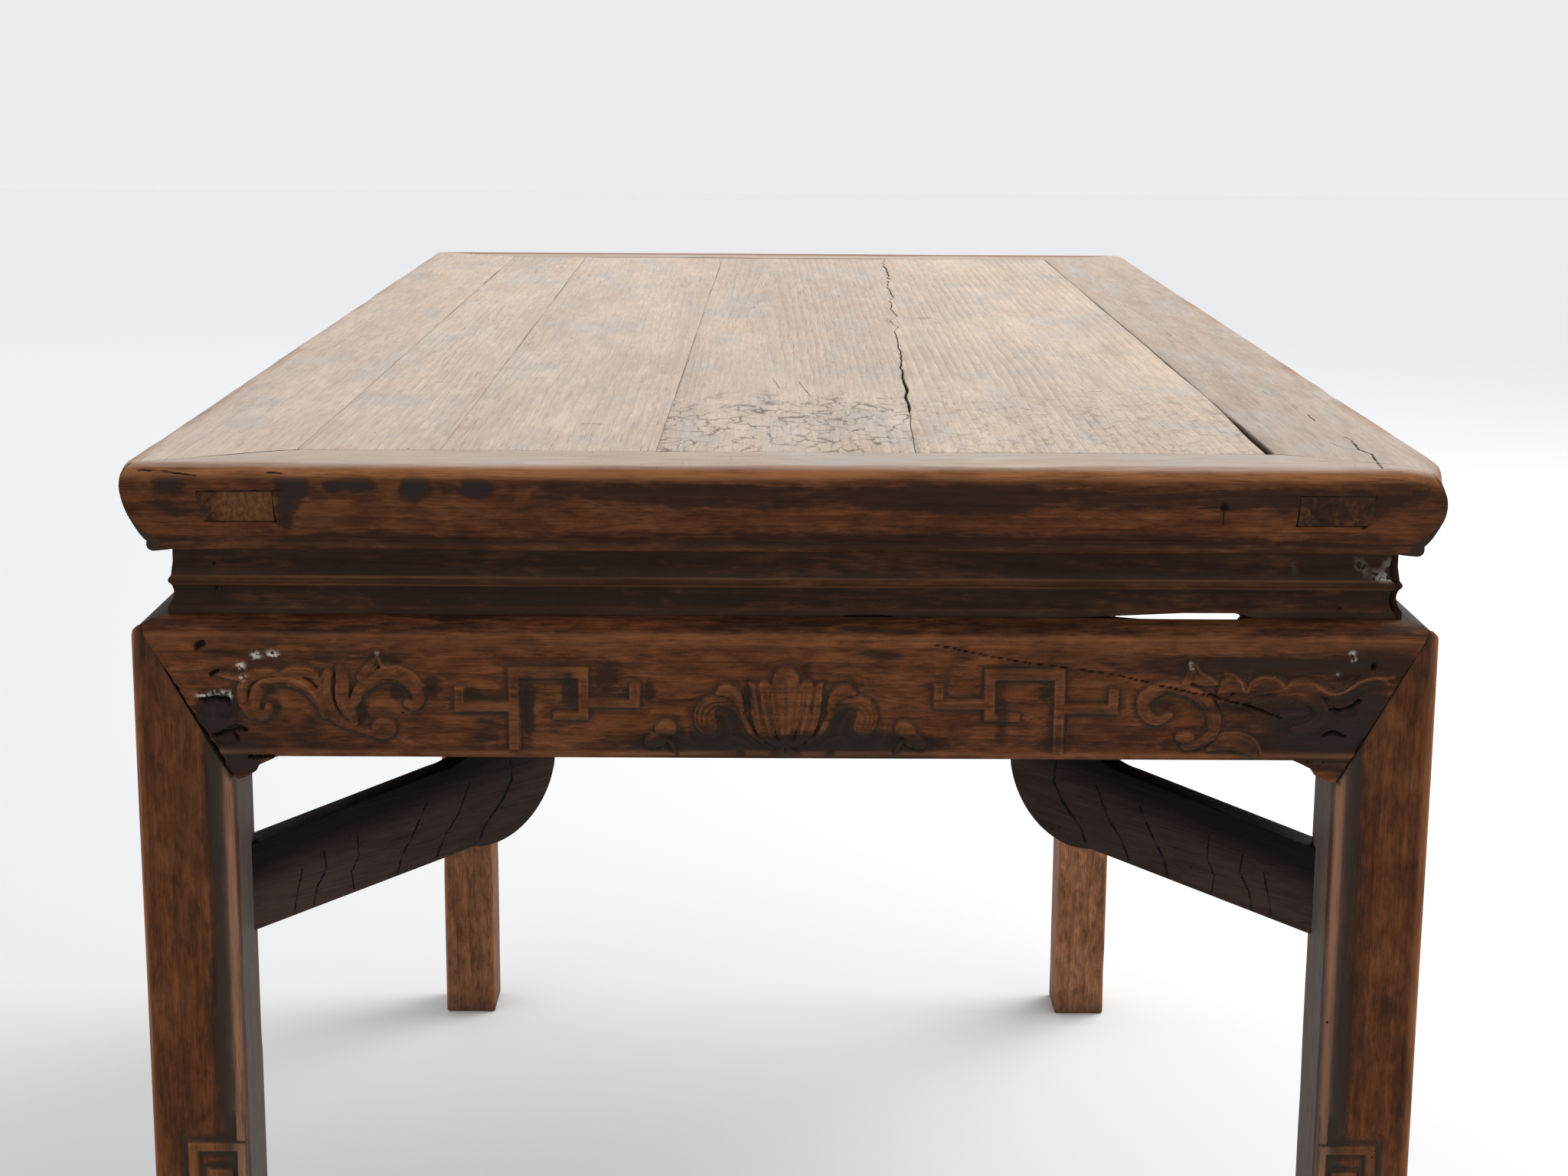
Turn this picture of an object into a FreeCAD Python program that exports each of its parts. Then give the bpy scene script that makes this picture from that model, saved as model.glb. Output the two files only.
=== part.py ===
"""Chinese altar table with a waist, corner legs and giant's-arm braces, in millimetres.

The origin is on the floor under the middle of the top. X runs across the short side, Y along
the length, and the carved end that faces the room looks towards -Y.
"""
import FreeCAD
import Part
import Sketcher
import math
import os
from types import SimpleNamespace

# Driving sizes, in millimetres. Each goes into one cell of the sheet.
SIZES = {
    # whole table
    "table_height": 840.0,
    "base_width": 730.0,
    "base_length": 1260.0,
    "top_overhang": 1.5,
    # frame of the top
    "frame_thick": 51.0,
    "long_rail_width": 89.0,
    "short_rail_width": 50.0,
    "edge_round_in": 4.5,
    "edge_round_drop": 5.5,
    "edge_face": 9.0,
    "edge_sweep_in": 10.9,
    "edge_quirk": 1.2,
    "edge_bead": 6.5,
    "edge_bead_out": 0.8,
    "edge_under_in": 15.6,
    "rail_tenon_out": 42.0,
    "rail_tenon_width": 42.0,
    "rail_tenon_thick": 18.0,
    "rail_tenon_up": 18.0,
    # floating panel
    "board_thick": 18.0,
    "board_tongue_thick": 6.0,
    "board_tongue_drop": 5.0,
    "board_tongue": 6.0,
    "frame_tongue": 7.5,
    "panel_play": 0.5,
    # battens under the panel
    "batten_width": 42.0,
    "batten_depth": 26.0,
    "batten_neck": 30.0,
    "batten_flare": 3.0,
    "batten_housing": 6.0,
    "batten_tenon": 16.0,
    "batten_tenon_width": 26.0,
    "batten_tenon_thick": 12.0,
    "batten_tenon_drop": 8.0,
    # waist
    "waist_height": 38.0,
    "waist_thick": 12.0,
    "waist_top_in": 20.6,
    "waist_bead_in": 18.0,
    "waist_quirk_in": 19.4,
    "waist_hollow_in": 20.6,
    "waist_lip_in": 17.6,
    "waist_lip": 4.0,
    "waist_bead": 4.5,
    "waist_tongue": 4.0,
    "waist_tongue_thick": 4.0,
    # aprons
    "apron_face": 70.0,
    "apron_thick": 30.0,
    "shoulder_rise": 8.0,
    "seam_top_in": 8.0,
    "spandrel_reach": 25.0,
    "spandrel_drop": 13.5,
    "bead_width": 5.4,
    "bead_sink": 0.8,
    "hollow_width": 9.0,
    "hollow_depth": 1.4,
    # legs
    "leg_side": 54.0,
    "leg_round": 4.5,
    "post_tenon": 16.0,
    "post_tenon_height": 16.0,
    "pin_depth": 6.0,
    "pin_neck": 8.0,
    "pin_flare": 2.0,
    "pin_cover": 6.0,
    "socket_out": 22.0,
    "socket_width": 22.0,
    "socket_in": 11.0,
    "socket_thick": 8.0,
    # braces
    "brace_low": 553.0,
    "brace_depth": 53.0,
    "brace_thick": 15.0,
    "brace_reach": 225.0,
    "brace_head": 40.0,
    "hook_thick": 8.0,
    "hook_length": 24.0,
    "hook_low": 14.0,
    "hook_height": 26.0,
    "hook_rise": 6.0,
    "wedge_thick": 7.0,
    "wedge_set_in": 4.0,
    "head_tenon": 24.0,
    "head_tenon_height": 14.0,
    "peg_radius": 4.0,
    "peg_play": 0.1,
    # cuts run this far past the surfaces that they leave by
    "overrun": 3.0,
}

# Where the joints between the four boards lie across the panel, at its front and rear end.
JOINT_FRONT_SHARES = (0.0, 0.145, 0.366, 0.632, 1.0)
JOINT_REAR_SHARES = (0.0, 0.134, 0.392, 0.698, 1.0)

# Points of the brace, as shares of its reach and of its rise.
BRACE_BELLY_SHARES = (0.69, 0.047)
BRACE_BEND_SHARES = (0.91, 0.093)
BRACE_HEEL_SHARES = (0.987, 0.214)
BRACE_THROAT_TOP_SHARES = (0.79, 0.473)
BRACE_THROAT_SHARES = (0.733, 0.337)
BRACE_THROAT_LOW_SHARES = (0.582, 0.276)

# Points that the arcs of the mouldings pass through, as shares of their two sizes.
ROUND_BULGE_SHARE = 0.29
SWEEP_BULGE_SHARES = (0.32, 0.48)
SHOULDER_BULGE_SHARES = (0.4, 0.72)
SPANDREL_CUSP_SHARES = (0.5, 0.62)
SPANDREL_LOW_SHARES = (0.28, 0.9)
SPANDREL_HIGH_SHARES = (0.76, 0.22)
SPANDREL_STEP_SHARE = 0.45
HALF_SHARE = 0.5
DIAGONAL_SHARE = math.sqrt(HALF_SHARE)

EIGHTH_TURN = 45.0
QUARTER_TURN = 90.0


class Size:
    """A size that holds its value and the sheet formula that it comes from."""

    def __init__(self, value, text):
        self.value = value
        self.text = text

    def __add__(self, other):
        return joined(self, "+", other)

    def __radd__(self, other):
        return joined(other, "+", self)

    def __sub__(self, other):
        return joined(self, "-", other)

    def __rsub__(self, other):
        return joined(other, "-", self)

    def __mul__(self, other):
        return joined(self, "*", other)

    def __rmul__(self, other):
        return joined(other, "*", self)

    def __truediv__(self, other):
        return joined(self, "/", other)

    def __neg__(self):
        return joined(-1, "*", self)


def as_size(amount):
    """Gives a plain number the form of a size."""
    if isinstance(amount, Size):
        return amount
    return Size(float(amount), f"{float(amount):.9f}")


def joined(first, sign, second):
    """Works out a sum of two sizes and writes its formula."""
    left = as_size(first)
    right = as_size(second)
    results = {
        "+": left.value + right.value,
        "-": left.value - right.value,
        "*": left.value * right.value,
    }
    value = left.value / right.value if sign == "/" else results[sign]
    return Size(value, f"({left.text} {sign} {right.text})")


def fill_sheet(document):
    """Writes the driving sizes into the sheet, one cell with its alias for each."""
    sheet = document.addObject("Spreadsheet::Sheet", "Sizes")
    for row, (alias, value) in enumerate(SIZES.items(), start=1):
        sheet.set(f"A{row}", alias.replace("_", " "))
        sheet.set(f"B{row}", str(value))
        sheet.setAlias(f"B{row}", alias)
    document.recompute()
    return SimpleNamespace(
        **{alias: Size(value, f"Sizes.{alias}") for alias, value in SIZES.items()}
    )


doc = FreeCAD.newDocument("altar_table")
S = fill_sheet(doc)

# Heights above the floor.
FRAME_UNDER = S.table_height - S.frame_thick
SHOULDER_TOP = FRAME_UNDER - S.waist_height
ARRIS_HEIGHT = SHOULDER_TOP - S.shoulder_rise
APRON_BOTTOM = ARRIS_HEIGHT - S.apron_face
BOARD_UNDER = S.table_height - S.board_thick
BATTEN_UNDER = BOARD_UNDER - S.batten_depth

# Sizes that several pieces share.
TOP_WIDTH = S.base_width + 2 * S.top_overhang
TOP_LENGTH = S.base_length + 2 * S.top_overhang
POST_MIDDLE = (S.apron_thick + S.leg_side) * HALF_SHARE
TONGUE_FAR = S.apron_thick - (S.waist_thick - S.waist_tongue_thick) * HALF_SHARE
TONGUE_NEAR = TONGUE_FAR - S.waist_tongue_thick
BRACE_STEP = S.brace_reach * DIAGONAL_SHARE
BATTEN_OUT = S.base_length * HALF_SHARE - S.leg_side - BRACE_STEP
BRACE_RISE = BATTEN_UNDER - S.brace_low
SEAM_SLOPE = (S.leg_side - S.seam_top_in) / (S.apron_face + S.spandrel_drop)


def vector(x=0.0, y=0.0, z=0.0):
    """Makes a vector from sizes or zeros."""
    return FreeCAD.Vector(as_size(x).value, as_size(y).value, as_size(z).value)


def place(piece, x=0, y=0, z=0, turn=0.0):
    """Sets the place of a piece, bound to the sheet, and its turn about the upright."""
    spot = FreeCAD.Placement(vector(x, y, z), FreeCAD.Rotation(FreeCAD.Vector(0, 0, 1), turn))
    piece.Placement = spot
    for axis, amount in (("x", x), ("y", y), ("z", z)):
        if isinstance(amount, Size):
            piece.setExpression(f"Placement.Base.{axis}", amount.text)


def new_body(name):
    """Starts a solid piece of wood with its own name."""
    body = doc.addObject("PartDesign::Body", name)
    body.Label = name
    return body


def new_sketch(body, name, role, offset=(0, 0, 0), turn=0.0):
    """Puts a sketch on one of the body's own planes, moved and turned about its upright."""
    sketch = body.newObject("Sketcher::SketchObject", name)
    plane = next(part for part in body.Origin.OriginFeatures if part.Role == role)
    sketch.AttachmentSupport = [(plane, "")]
    sketch.MapMode = "FlatFace"
    upright = FreeCAD.Vector(0, 1, 0)
    sketch.AttachmentOffset = FreeCAD.Placement(
        vector(*offset), FreeCAD.Rotation(upright, turn)
    )
    for axis, amount in zip("xyz", offset):
        if isinstance(amount, Size):
            sketch.setExpression(f"AttachmentOffset.Base.{axis}", amount.text)
    return sketch


def hold_point(sketch, shape, end, x, y):
    """Holds a point of a sketch at two sizes from the sketch's own origin."""
    for kind, amount, axis in (("DistanceX", x, -2), ("DistanceY", y, -1)):
        if not isinstance(amount, Size):
            sketch.addConstraint(Sketcher.Constraint("PointOnObject", shape, end, axis))
            continue
        rule = Sketcher.Constraint(kind, -1, 1, shape, end, amount.value)
        number = sketch.addConstraint(rule)
        sketch.setExpression(f"Constraints[{number}]", amount.text)


def add_edge(sketch, start, corner):
    """Adds the line or arc from a point to a corner; gives its number and its two ends."""
    end = vector(corner[0], corner[1])
    if len(corner) == 2:
        return sketch.addGeometry(Part.LineSegment(start, end)), 1, 2
    via = vector(corner[2], corner[3])
    shape = sketch.addGeometry(Part.Arc(start, via, end))
    middle = sketch.addGeometry(Part.Point(via), True)
    sketch.addConstraint(Sketcher.Constraint("PointOnObject", middle, 1, shape))
    hold_point(sketch, middle, 1, corner[2], corner[3])
    first_gap = (sketch.getPoint(shape, 1) - start).Length
    second_gap = (sketch.getPoint(shape, 2) - start).Length
    if first_gap < second_gap:
        return shape, 1, 2
    return shape, 2, 1


def draw_outline(sketch, corners):
    """Draws a closed outline. A corner of four sizes is reached by an arc through its last two."""
    edges = []
    for index, corner in enumerate(corners):
        before = corners[index - 1]
        start = vector(before[0], before[1])
        shape, first, last = add_edge(sketch, start, corner)
        hold_point(sketch, shape, last, corner[0], corner[1])
        edges.append((shape, first, last))
    for index, (shape, first, last) in enumerate(edges):
        previous = edges[index - 1]
        rule = Sketcher.Constraint("Coincident", previous[0], previous[2], shape, first)
        sketch.addConstraint(rule)
    return sketch


def draw_circle(sketch, x, y, radius):
    """Draws one circle held at its centre."""
    ring = Part.Circle(vector(x, y), FreeCAD.Vector(0, 0, 1), radius.value)
    shape = sketch.addGeometry(ring)
    hold_point(sketch, shape, 3, x, y)
    number = sketch.addConstraint(Sketcher.Constraint("Radius", shape, radius.value))
    sketch.setExpression(f"Constraints[{number}]", radius.text)
    return sketch


def box_corners(low_x, high_x, low_y, high_y):
    """Lists the corners of an upright rectangle."""
    return [(low_x, low_y), (high_x, low_y), (high_x, high_y), (low_x, high_y)]


def run_feature(body, kind, name, sketch, length, side, reverse):
    """Adds a pad or a pocket of a stated length."""
    feature = body.newObject(f"PartDesign::{kind}", name)
    feature.Profile = sketch
    feature.SideType = side
    feature.Reversed = reverse
    feature.Length = length.value
    feature.setExpression("Length", length.text)
    return feature


def pad(body, name, sketch, length, side="One side", reverse=False):
    """Adds wood to the body."""
    return run_feature(body, "Pad", name, sketch, length, side, reverse)


def pocket(body, name, sketch, length, side="One side", reverse=False):
    """Cuts wood away and makes sure that the cut took something."""
    doc.recompute()
    before = body.Shape.Volume
    feature = run_feature(body, "Pocket", name, sketch, length, side, reverse)
    doc.recompute()
    if not body.Shape.Volume < before:
        raise ValueError(f"{body.Label}: {name} cuts nothing")
    return feature


def mirrored(source, name, across):
    """Makes the mirror image of a piece across the middle of the table."""
    image = doc.addObject("Part::Mirroring", name)
    image.Label = name
    image.Source = source
    image.Normal = across
    return image


ACROSS_WIDTH = FreeCAD.Vector(1, 0, 0)
ACROSS_LENGTH = FreeCAD.Vector(0, 1, 0)


def four_corners(source, stem):
    """Makes the three images of a front left piece."""
    right = mirrored(source, f"{stem}_front_right", ACROSS_WIDTH)
    rear_left = mirrored(source, f"{stem}_rear_left", ACROSS_LENGTH)
    rear_right = mirrored(rear_left, f"{stem}_rear_right", ACROSS_WIDTH)
    return [source, right, rear_left, rear_right]


def seam_in(height):
    """Gives how far the shoulder seam lies from the corner, at a height above the apron's edge."""
    return S.seam_top_in + (S.apron_face - height) * SEAM_SLOPE


def seam_height(inward):
    """Gives the height of the shoulder seam above the apron's edge at a distance inward."""
    return S.apron_face - (inward - S.seam_top_in) / SEAM_SLOPE


def mitre_corners(half_length, depth, step, end):
    """Lists the triangle that a mitre takes from one end of a piece."""
    spill = S.overrun * (step / depth)
    tip = end * (half_length + spill)
    heel = end * (half_length - step - spill)
    return [(tip, -S.overrun), (heel, depth + S.overrun), (tip, depth + S.overrun)]


def moulded_edge():
    """Lists the moulded edge of the top from its underside up, as inward and upward sizes."""
    bead_in = S.edge_sweep_in + S.edge_quirk
    face_high = S.frame_thick - S.edge_round_drop
    face_low = face_high - S.edge_face
    sweep = face_low - S.edge_bead
    return [
        (S.edge_under_in, 0),
        (bead_in, S.edge_bead, bead_in - S.edge_bead_out, S.edge_bead * HALF_SHARE),
        (S.edge_sweep_in, S.edge_bead),
        (
            0,
            face_low,
            S.edge_sweep_in * SWEEP_BULGE_SHARES[0],
            S.edge_bead + sweep * SWEEP_BULGE_SHARES[1],
        ),
        (0, face_high),
        (
            S.edge_round_in,
            S.frame_thick,
            S.edge_round_in * ROUND_BULGE_SHARE,
            S.frame_thick - S.edge_round_drop * ROUND_BULGE_SHARE,
        ),
    ]


def rail_section(width):
    """Lists the section of a rail of the top: moulded edge, panel groove and waist groove."""
    groove_high = S.frame_thick - S.board_tongue_drop
    groove_low = groove_high - S.board_tongue_thick
    groove_in = width - S.frame_tongue - S.panel_play
    waist_near = S.top_overhang + TONGUE_NEAR
    waist_far = S.top_overhang + TONGUE_FAR
    return moulded_edge() + [
        (width, S.frame_thick),
        (width, groove_high),
        (groove_in, groove_high),
        (groove_in, groove_low),
        (width, groove_low),
        (width, 0),
        (waist_far, 0),
        (waist_far, S.waist_tongue),
        (waist_near, S.waist_tongue),
        (waist_near, 0),
    ]


def mitred_rail(name, length, width, other_width):
    """Makes a rail of the top along X, its outer face on y = 0, with a mitre at both ends."""
    body = new_body(name)
    section = draw_outline(new_sketch(body, "section", "YZ_Plane"), rail_section(width))
    pad(body, "rail", section, length, side="Symmetric")
    for end in (-1, 1):
        corners = mitre_corners(length * HALF_SHARE, width, other_width, end)
        cut = draw_outline(new_sketch(body, f"mitre_line{end}", "XY_Plane"), corners)
        pocket(body, f"mitre{end}", cut, 2 * (S.frame_thick + S.overrun), side="Symmetric")
    return body


def rail_tenon_corners(start, way):
    """Lists the section of the through tenon, which runs one way from where it starts."""
    low = S.rail_tenon_up
    return box_corners(
        start, start + way * S.rail_tenon_width, low, low + S.rail_tenon_thick
    )


def through_tenon(body, length, end):
    """Adds the through tenon to one end of a long rail."""
    at_end = new_sketch(
        body, f"tenon_section{end}", "YZ_Plane", offset=(0, 0, end * length * HALF_SHARE)
    )
    draw_outline(at_end, rail_tenon_corners(S.rail_tenon_out, 1))
    pad(body, f"tenon{end}", at_end, S.short_rail_width, reverse=end > 0)


def mould_rail_end(body, length, end):
    """Carries the short rail's moulding round the corner onto the end of a long rail."""
    half = length * HALF_SHARE
    curve = []
    for corner in moulded_edge():
        pairs = [(end * (half - corner[0]), corner[1])]
        if len(corner) == 4:
            pairs.append((end * (half - corner[2]), corner[3]))
        curve.append(tuple(amount for pair in pairs for amount in pair))
    outside = end * (half + S.overrun)
    corners = [
        (outside, -S.overrun),
        (curve[0][0], -S.overrun),
        *curve,
        (curve[-1][0], S.frame_thick + S.overrun),
        (outside, S.frame_thick + S.overrun),
    ]
    cut = draw_outline(new_sketch(body, f"end_mould_line{end}", "XZ_Plane"), corners)
    pocket(body, f"end_mould{end}", cut, 2 * (S.long_rail_width + S.overrun), side="Symmetric")


def post_mortise(body, length, end):
    """Cuts the mortise for the leg's top tenon into the underside of a long rail."""
    middle = S.top_overhang + POST_MIDDLE
    half = S.post_tenon * HALF_SHARE
    along = end * (length * HALF_SHARE - middle)
    corners = box_corners(along - half, along + half, middle - half, middle + half)
    cut = draw_outline(new_sketch(body, f"post_line{end}", "XY_Plane"), corners)
    pocket(body, f"post_mortise{end}", cut, S.post_tenon_height, reverse=True)


def end_waist_groove(body, length, end):
    """Carries the short side's waist groove under the corner of a long rail."""
    near = S.top_overhang + TONGUE_NEAR
    far = S.top_overhang + TONGUE_FAR
    half = length * HALF_SHARE
    corners = box_corners(end * (half - near), end * (half - far), near, S.long_rail_width)
    cut = draw_outline(new_sketch(body, f"end_groove_line{end}", "XY_Plane"), corners)
    pocket(body, f"end_groove{end}", cut, S.waist_tongue, reverse=True)


def batten_mortise(body, name, middle=0):
    """Cuts a blind mortise for a batten into the inner face of a long rail."""
    high = S.frame_thick - S.board_thick - S.batten_tenon_drop
    half = S.batten_tenon_width * HALF_SHARE
    corners = box_corners(middle - half, middle + half, high - S.batten_tenon_thick, high)
    inner = new_sketch(body, f"{name}_line", "XZ_Plane", offset=(0, 0, -S.long_rail_width))
    pocket(body, name, draw_outline(inner, corners), S.batten_tenon, reverse=True)


def top_rail_left():
    """Makes a long rail, which carries the tenons of the mitred frame."""
    body = mitred_rail("top_rail_left", TOP_LENGTH, S.long_rail_width, S.short_rail_width)
    for end in (-1, 1):
        through_tenon(body, TOP_LENGTH, end)
        mould_rail_end(body, TOP_LENGTH, end)
        post_mortise(body, TOP_LENGTH, end)
        end_waist_groove(body, TOP_LENGTH, end)
    batten_mortise(body, "batten_mortise_front", BATTEN_OUT)
    batten_mortise(body, "batten_mortise_middle")
    batten_mortise(body, "batten_mortise_rear", -BATTEN_OUT)
    place(body, x=-TOP_WIDTH * HALF_SHARE, z=FRAME_UNDER, turn=-QUARTER_TURN)
    return body


def top_rail_front():
    """Makes a short rail, with an open mortise at each end for the long rails' tenons."""
    body = mitred_rail("top_rail_front", TOP_WIDTH, S.short_rail_width, S.long_rail_width)
    for end in (-1, 1):
        corners = rail_tenon_corners(end * (TOP_WIDTH * HALF_SHARE - S.rail_tenon_out), -end)
        cut = draw_outline(new_sketch(body, f"mortise_line{end}", "XZ_Plane"), corners)
        pocket(body, f"mortise{end}", cut, 2 * (S.short_rail_width + S.overrun), "Symmetric")
    place(body, y=-TOP_LENGTH * HALF_SHARE, z=FRAME_UNDER)
    return body


PANEL_WIDTH = TOP_WIDTH - 2 * S.long_rail_width
PANEL_LENGTH = TOP_LENGTH - 2 * S.short_rail_width


def board_corners(left, right, spill_left, spill_right, spill_end):
    """Lists the plan of a board, whose edges may taper, widened by the given amounts."""
    half = PANEL_LENGTH * HALF_SHARE + spill_end
    sides = []
    for number, spill in ((left, -spill_left), (right, spill_right)):
        front = PANEL_WIDTH * (JOINT_FRONT_SHARES[number] - HALF_SHARE) + spill
        rear = PANEL_WIDTH * (JOINT_REAR_SHARES[number] - HALF_SHARE) + spill
        slope = (rear - front) / PANEL_LENGTH
        sides.append((front - slope * spill_end, rear + slope * spill_end))
    (left_front, left_rear), (right_front, right_rear) = sides
    return [(left_front, -half), (right_front, -half), (right_rear, half), (left_rear, half)]


def batten_housing(body, name, middle=0):
    """Cuts the sliding dovetail for a batten across the underside of a board."""
    neck = S.batten_neck * HALF_SHARE
    flare = neck + S.batten_flare
    corners = [
        (middle - neck, 0),
        (middle + neck, 0),
        (middle + flare, S.batten_housing),
        (middle - flare, S.batten_housing),
    ]
    cut = draw_outline(new_sketch(body, f"{name}_line", "YZ_Plane"), corners)
    pocket(body, name, cut, 2 * PANEL_WIDTH, side="Symmetric")


def top_board(name, number):
    """Makes one board of the panel, with a tongue on its right edge and a groove on its left."""
    body = new_body(name)
    last = len(JOINT_FRONT_SHARES) - 2
    plan = draw_outline(
        new_sketch(body, "plan", "XY_Plane"), board_corners(number, number + 1, 0, 0, 0)
    )
    pad(body, "board", plan, S.board_thick)
    tongue_up = S.board_thick - S.board_tongue_drop - S.board_tongue_thick
    left = S.frame_tongue if number == 0 else -S.board_tongue - S.panel_play
    right = S.frame_tongue if number == last else S.board_tongue
    tongue_plan = new_sketch(body, "tongue_plan", "XY_Plane", offset=(0, 0, tongue_up))
    draw_outline(tongue_plan, board_corners(number, number + 1, left, right, S.frame_tongue))
    pad(body, "tongues", tongue_plan, S.board_tongue_thick)
    if number > 0:
        groove_plan = new_sketch(body, "groove_plan", "XY_Plane", offset=(0, 0, tongue_up))
        inner = S.board_tongue + S.panel_play
        corners = board_corners(number, number, S.overrun, inner, S.frame_tongue + S.overrun)
        draw_outline(groove_plan, corners)
        pocket(body, "groove", groove_plan, S.board_tongue_thick, reverse=True)
    batten_housing(body, "housing_front", -BATTEN_OUT)
    batten_housing(body, "housing_middle")
    batten_housing(body, "housing_rear", BATTEN_OUT)
    place(body, z=BOARD_UNDER)
    return body


def batten_section():
    """Lists the section of a batten: a bearer with a dovetail on its back."""
    half = S.batten_width * HALF_SHARE
    neck = S.batten_neck * HALF_SHARE
    flare = neck + S.batten_flare
    return [
        (-half, -S.batten_depth),
        (half, -S.batten_depth),
        (half, 0),
        (neck, 0),
        (flare, S.batten_housing),
        (-flare, S.batten_housing),
        (-neck, 0),
        (-half, 0),
    ]


def batten(name, along=0):
    """Makes a batten that stiffens the panel and hangs it in the long rails."""
    body = new_body(name)
    section = draw_outline(new_sketch(body, "section", "YZ_Plane"), batten_section())
    pad(body, "bearer", section, PANEL_WIDTH, side="Symmetric")
    half = S.batten_tenon_width * HALF_SHARE
    high = -S.batten_tenon_drop
    low = high - S.batten_tenon_thick
    tenons = draw_outline(
        new_sketch(body, "tenon_section", "YZ_Plane"), box_corners(-half, half, low, high)
    )
    pad(body, "tenons", tenons, PANEL_WIDTH + 2 * S.batten_tenon, side="Symmetric")
    place(body, y=along, z=BOARD_UNDER)
    return body


def brace_batten(name, along, turn_sign):
    """Makes a batten that two braces hold up, with their mortises and peg holes."""
    body = batten(name, along)
    across = S.base_width * HALF_SHARE - S.leg_side - BRACE_STEP
    long_step = S.head_tenon * HALF_SHARE * DIAGONAL_SHARE
    wide_step = S.hook_thick * HALF_SHARE * DIAGONAL_SHARE
    for side in (-1, 1):
        lean = side * turn_sign
        middle = side * across
        corners = [
            (middle - long_step + wide_step, lean * (long_step + wide_step)),
            (middle - long_step - wide_step, lean * (long_step - wide_step)),
            (middle + long_step - wide_step, -lean * (long_step + wide_step)),
            (middle + long_step + wide_step, -lean * (long_step - wide_step)),
        ]
        line = new_sketch(body, f"head_line{side}", "XY_Plane", offset=(0, 0, -S.batten_depth))
        pocket(body, f"head_mortise{side}", draw_outline(line, corners),
               S.head_tenon_height, reverse=True)
        ring = new_sketch(body, f"peg_line{side}", "XZ_Plane")
        peg_height = S.head_tenon_height * HALF_SHARE - S.batten_depth
        draw_circle(ring, middle, peg_height, S.peg_radius + S.peg_play)
        pocket(body, f"peg_hole{side}", ring, S.batten_width + S.overrun, side="Symmetric")
    return body


def waist_section():
    """Lists the section of a waist board: two hollows with a bead between, and its tongues."""
    height = S.waist_height
    bead_low = (height - S.waist_bead) * HALF_SHARE
    bead_high = bead_low + S.waist_bead
    hollow = (S.waist_lip + bead_low) * HALF_SHARE
    upper = (bead_high + height) * HALF_SHARE
    back = S.apron_thick
    return [
        (S.waist_lip_in, 0),
        (TONGUE_NEAR, 0),
        (TONGUE_NEAR, -S.waist_tongue),
        (TONGUE_FAR, -S.waist_tongue),
        (TONGUE_FAR, 0),
        (back, 0),
        (back, height),
        (TONGUE_FAR, height),
        (TONGUE_FAR, height + S.waist_tongue),
        (TONGUE_NEAR, height + S.waist_tongue),
        (TONGUE_NEAR, height),
        (S.waist_top_in, height),
        (S.waist_quirk_in, bead_high, S.waist_hollow_in, upper),
        (S.waist_quirk_in, bead_low, S.waist_bead_in, height * HALF_SHARE),
        (S.waist_lip_in, S.waist_lip, S.waist_hollow_in, hollow),
    ]


def waist_board(name, length):
    """Makes a waist board along X, mitred to its neighbours at both ends."""
    body = new_body(name)
    section = draw_outline(new_sketch(body, "section", "YZ_Plane"), waist_section())
    pad(body, "board", section, length, side="Symmetric")
    for end in (-1, 1):
        corners = mitre_corners(length * HALF_SHARE, S.apron_thick, S.apron_thick, end)
        cut = draw_outline(new_sketch(body, f"mitre_line{end}", "XY_Plane"), corners)
        pocket(body, f"mitre{end}", cut, 2 * (S.waist_height + S.overrun) + S.waist_tongue,
               side="Symmetric")
    return body


def shoulder_arc():
    """Gives the end and the middle point of the convex shoulder, from the apron's arris."""
    return (
        S.waist_lip_in,
        S.shoulder_rise,
        S.waist_lip_in * SHOULDER_BULGE_SHARES[0],
        S.shoulder_rise * SHOULDER_BULGE_SHARES[1],
    )


def apron_section():
    """Lists the section of an apron: bead, hollow, flat face and convex shoulder."""
    top = S.apron_face + S.shoulder_rise
    run, rise, run_middle, rise_middle = shoulder_arc()
    hollow_end = S.bead_width + S.hollow_width
    return [
        (S.bead_sink, 0),
        (S.bead_sink, S.bead_width, 0, S.bead_width * HALF_SHARE),
        (0, hollow_end, S.hollow_depth, (S.bead_width + hollow_end) * HALF_SHARE),
        (0, S.apron_face),
        (run, S.apron_face + rise, run_middle, S.apron_face + rise_middle),
        (TONGUE_NEAR, top),
        (TONGUE_NEAR, top - S.waist_tongue),
        (TONGUE_FAR, top - S.waist_tongue),
        (TONGUE_FAR, top),
        (S.apron_thick, top),
        (S.apron_thick, 0),
    ]


def spandrel(body, length, end):
    """Adds the cusped bracket that hangs from the apron against a leg."""
    half = length * HALF_SHARE

    def along(share):
        return end * (half - S.leg_side - S.spandrel_reach * share)

    def down(share):
        return -S.spandrel_drop * share

    cusp = SPANDREL_CUSP_SHARES
    low = SPANDREL_LOW_SHARES
    high = SPANDREL_HIGH_SHARES
    corners = [
        (end * (half - seam_in(0)), 0),
        (end * (half - S.leg_side), -S.spandrel_drop),
        (along(cusp[0]), down(cusp[1]), along(low[0]), down(low[1])),
        (along(cusp[0]), down(SPANDREL_STEP_SHARE)),
        (end * (half - S.leg_side - S.spandrel_reach), 0, along(high[0]), down(high[1])),
    ]
    line = new_sketch(body, f"spandrel_line{end}", "XZ_Plane", offset=(0, 0, -S.bead_sink))
    pad(body, f"spandrel{end}", draw_outline(line, corners), S.apron_thick - S.bead_sink,
        reverse=True)


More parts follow.
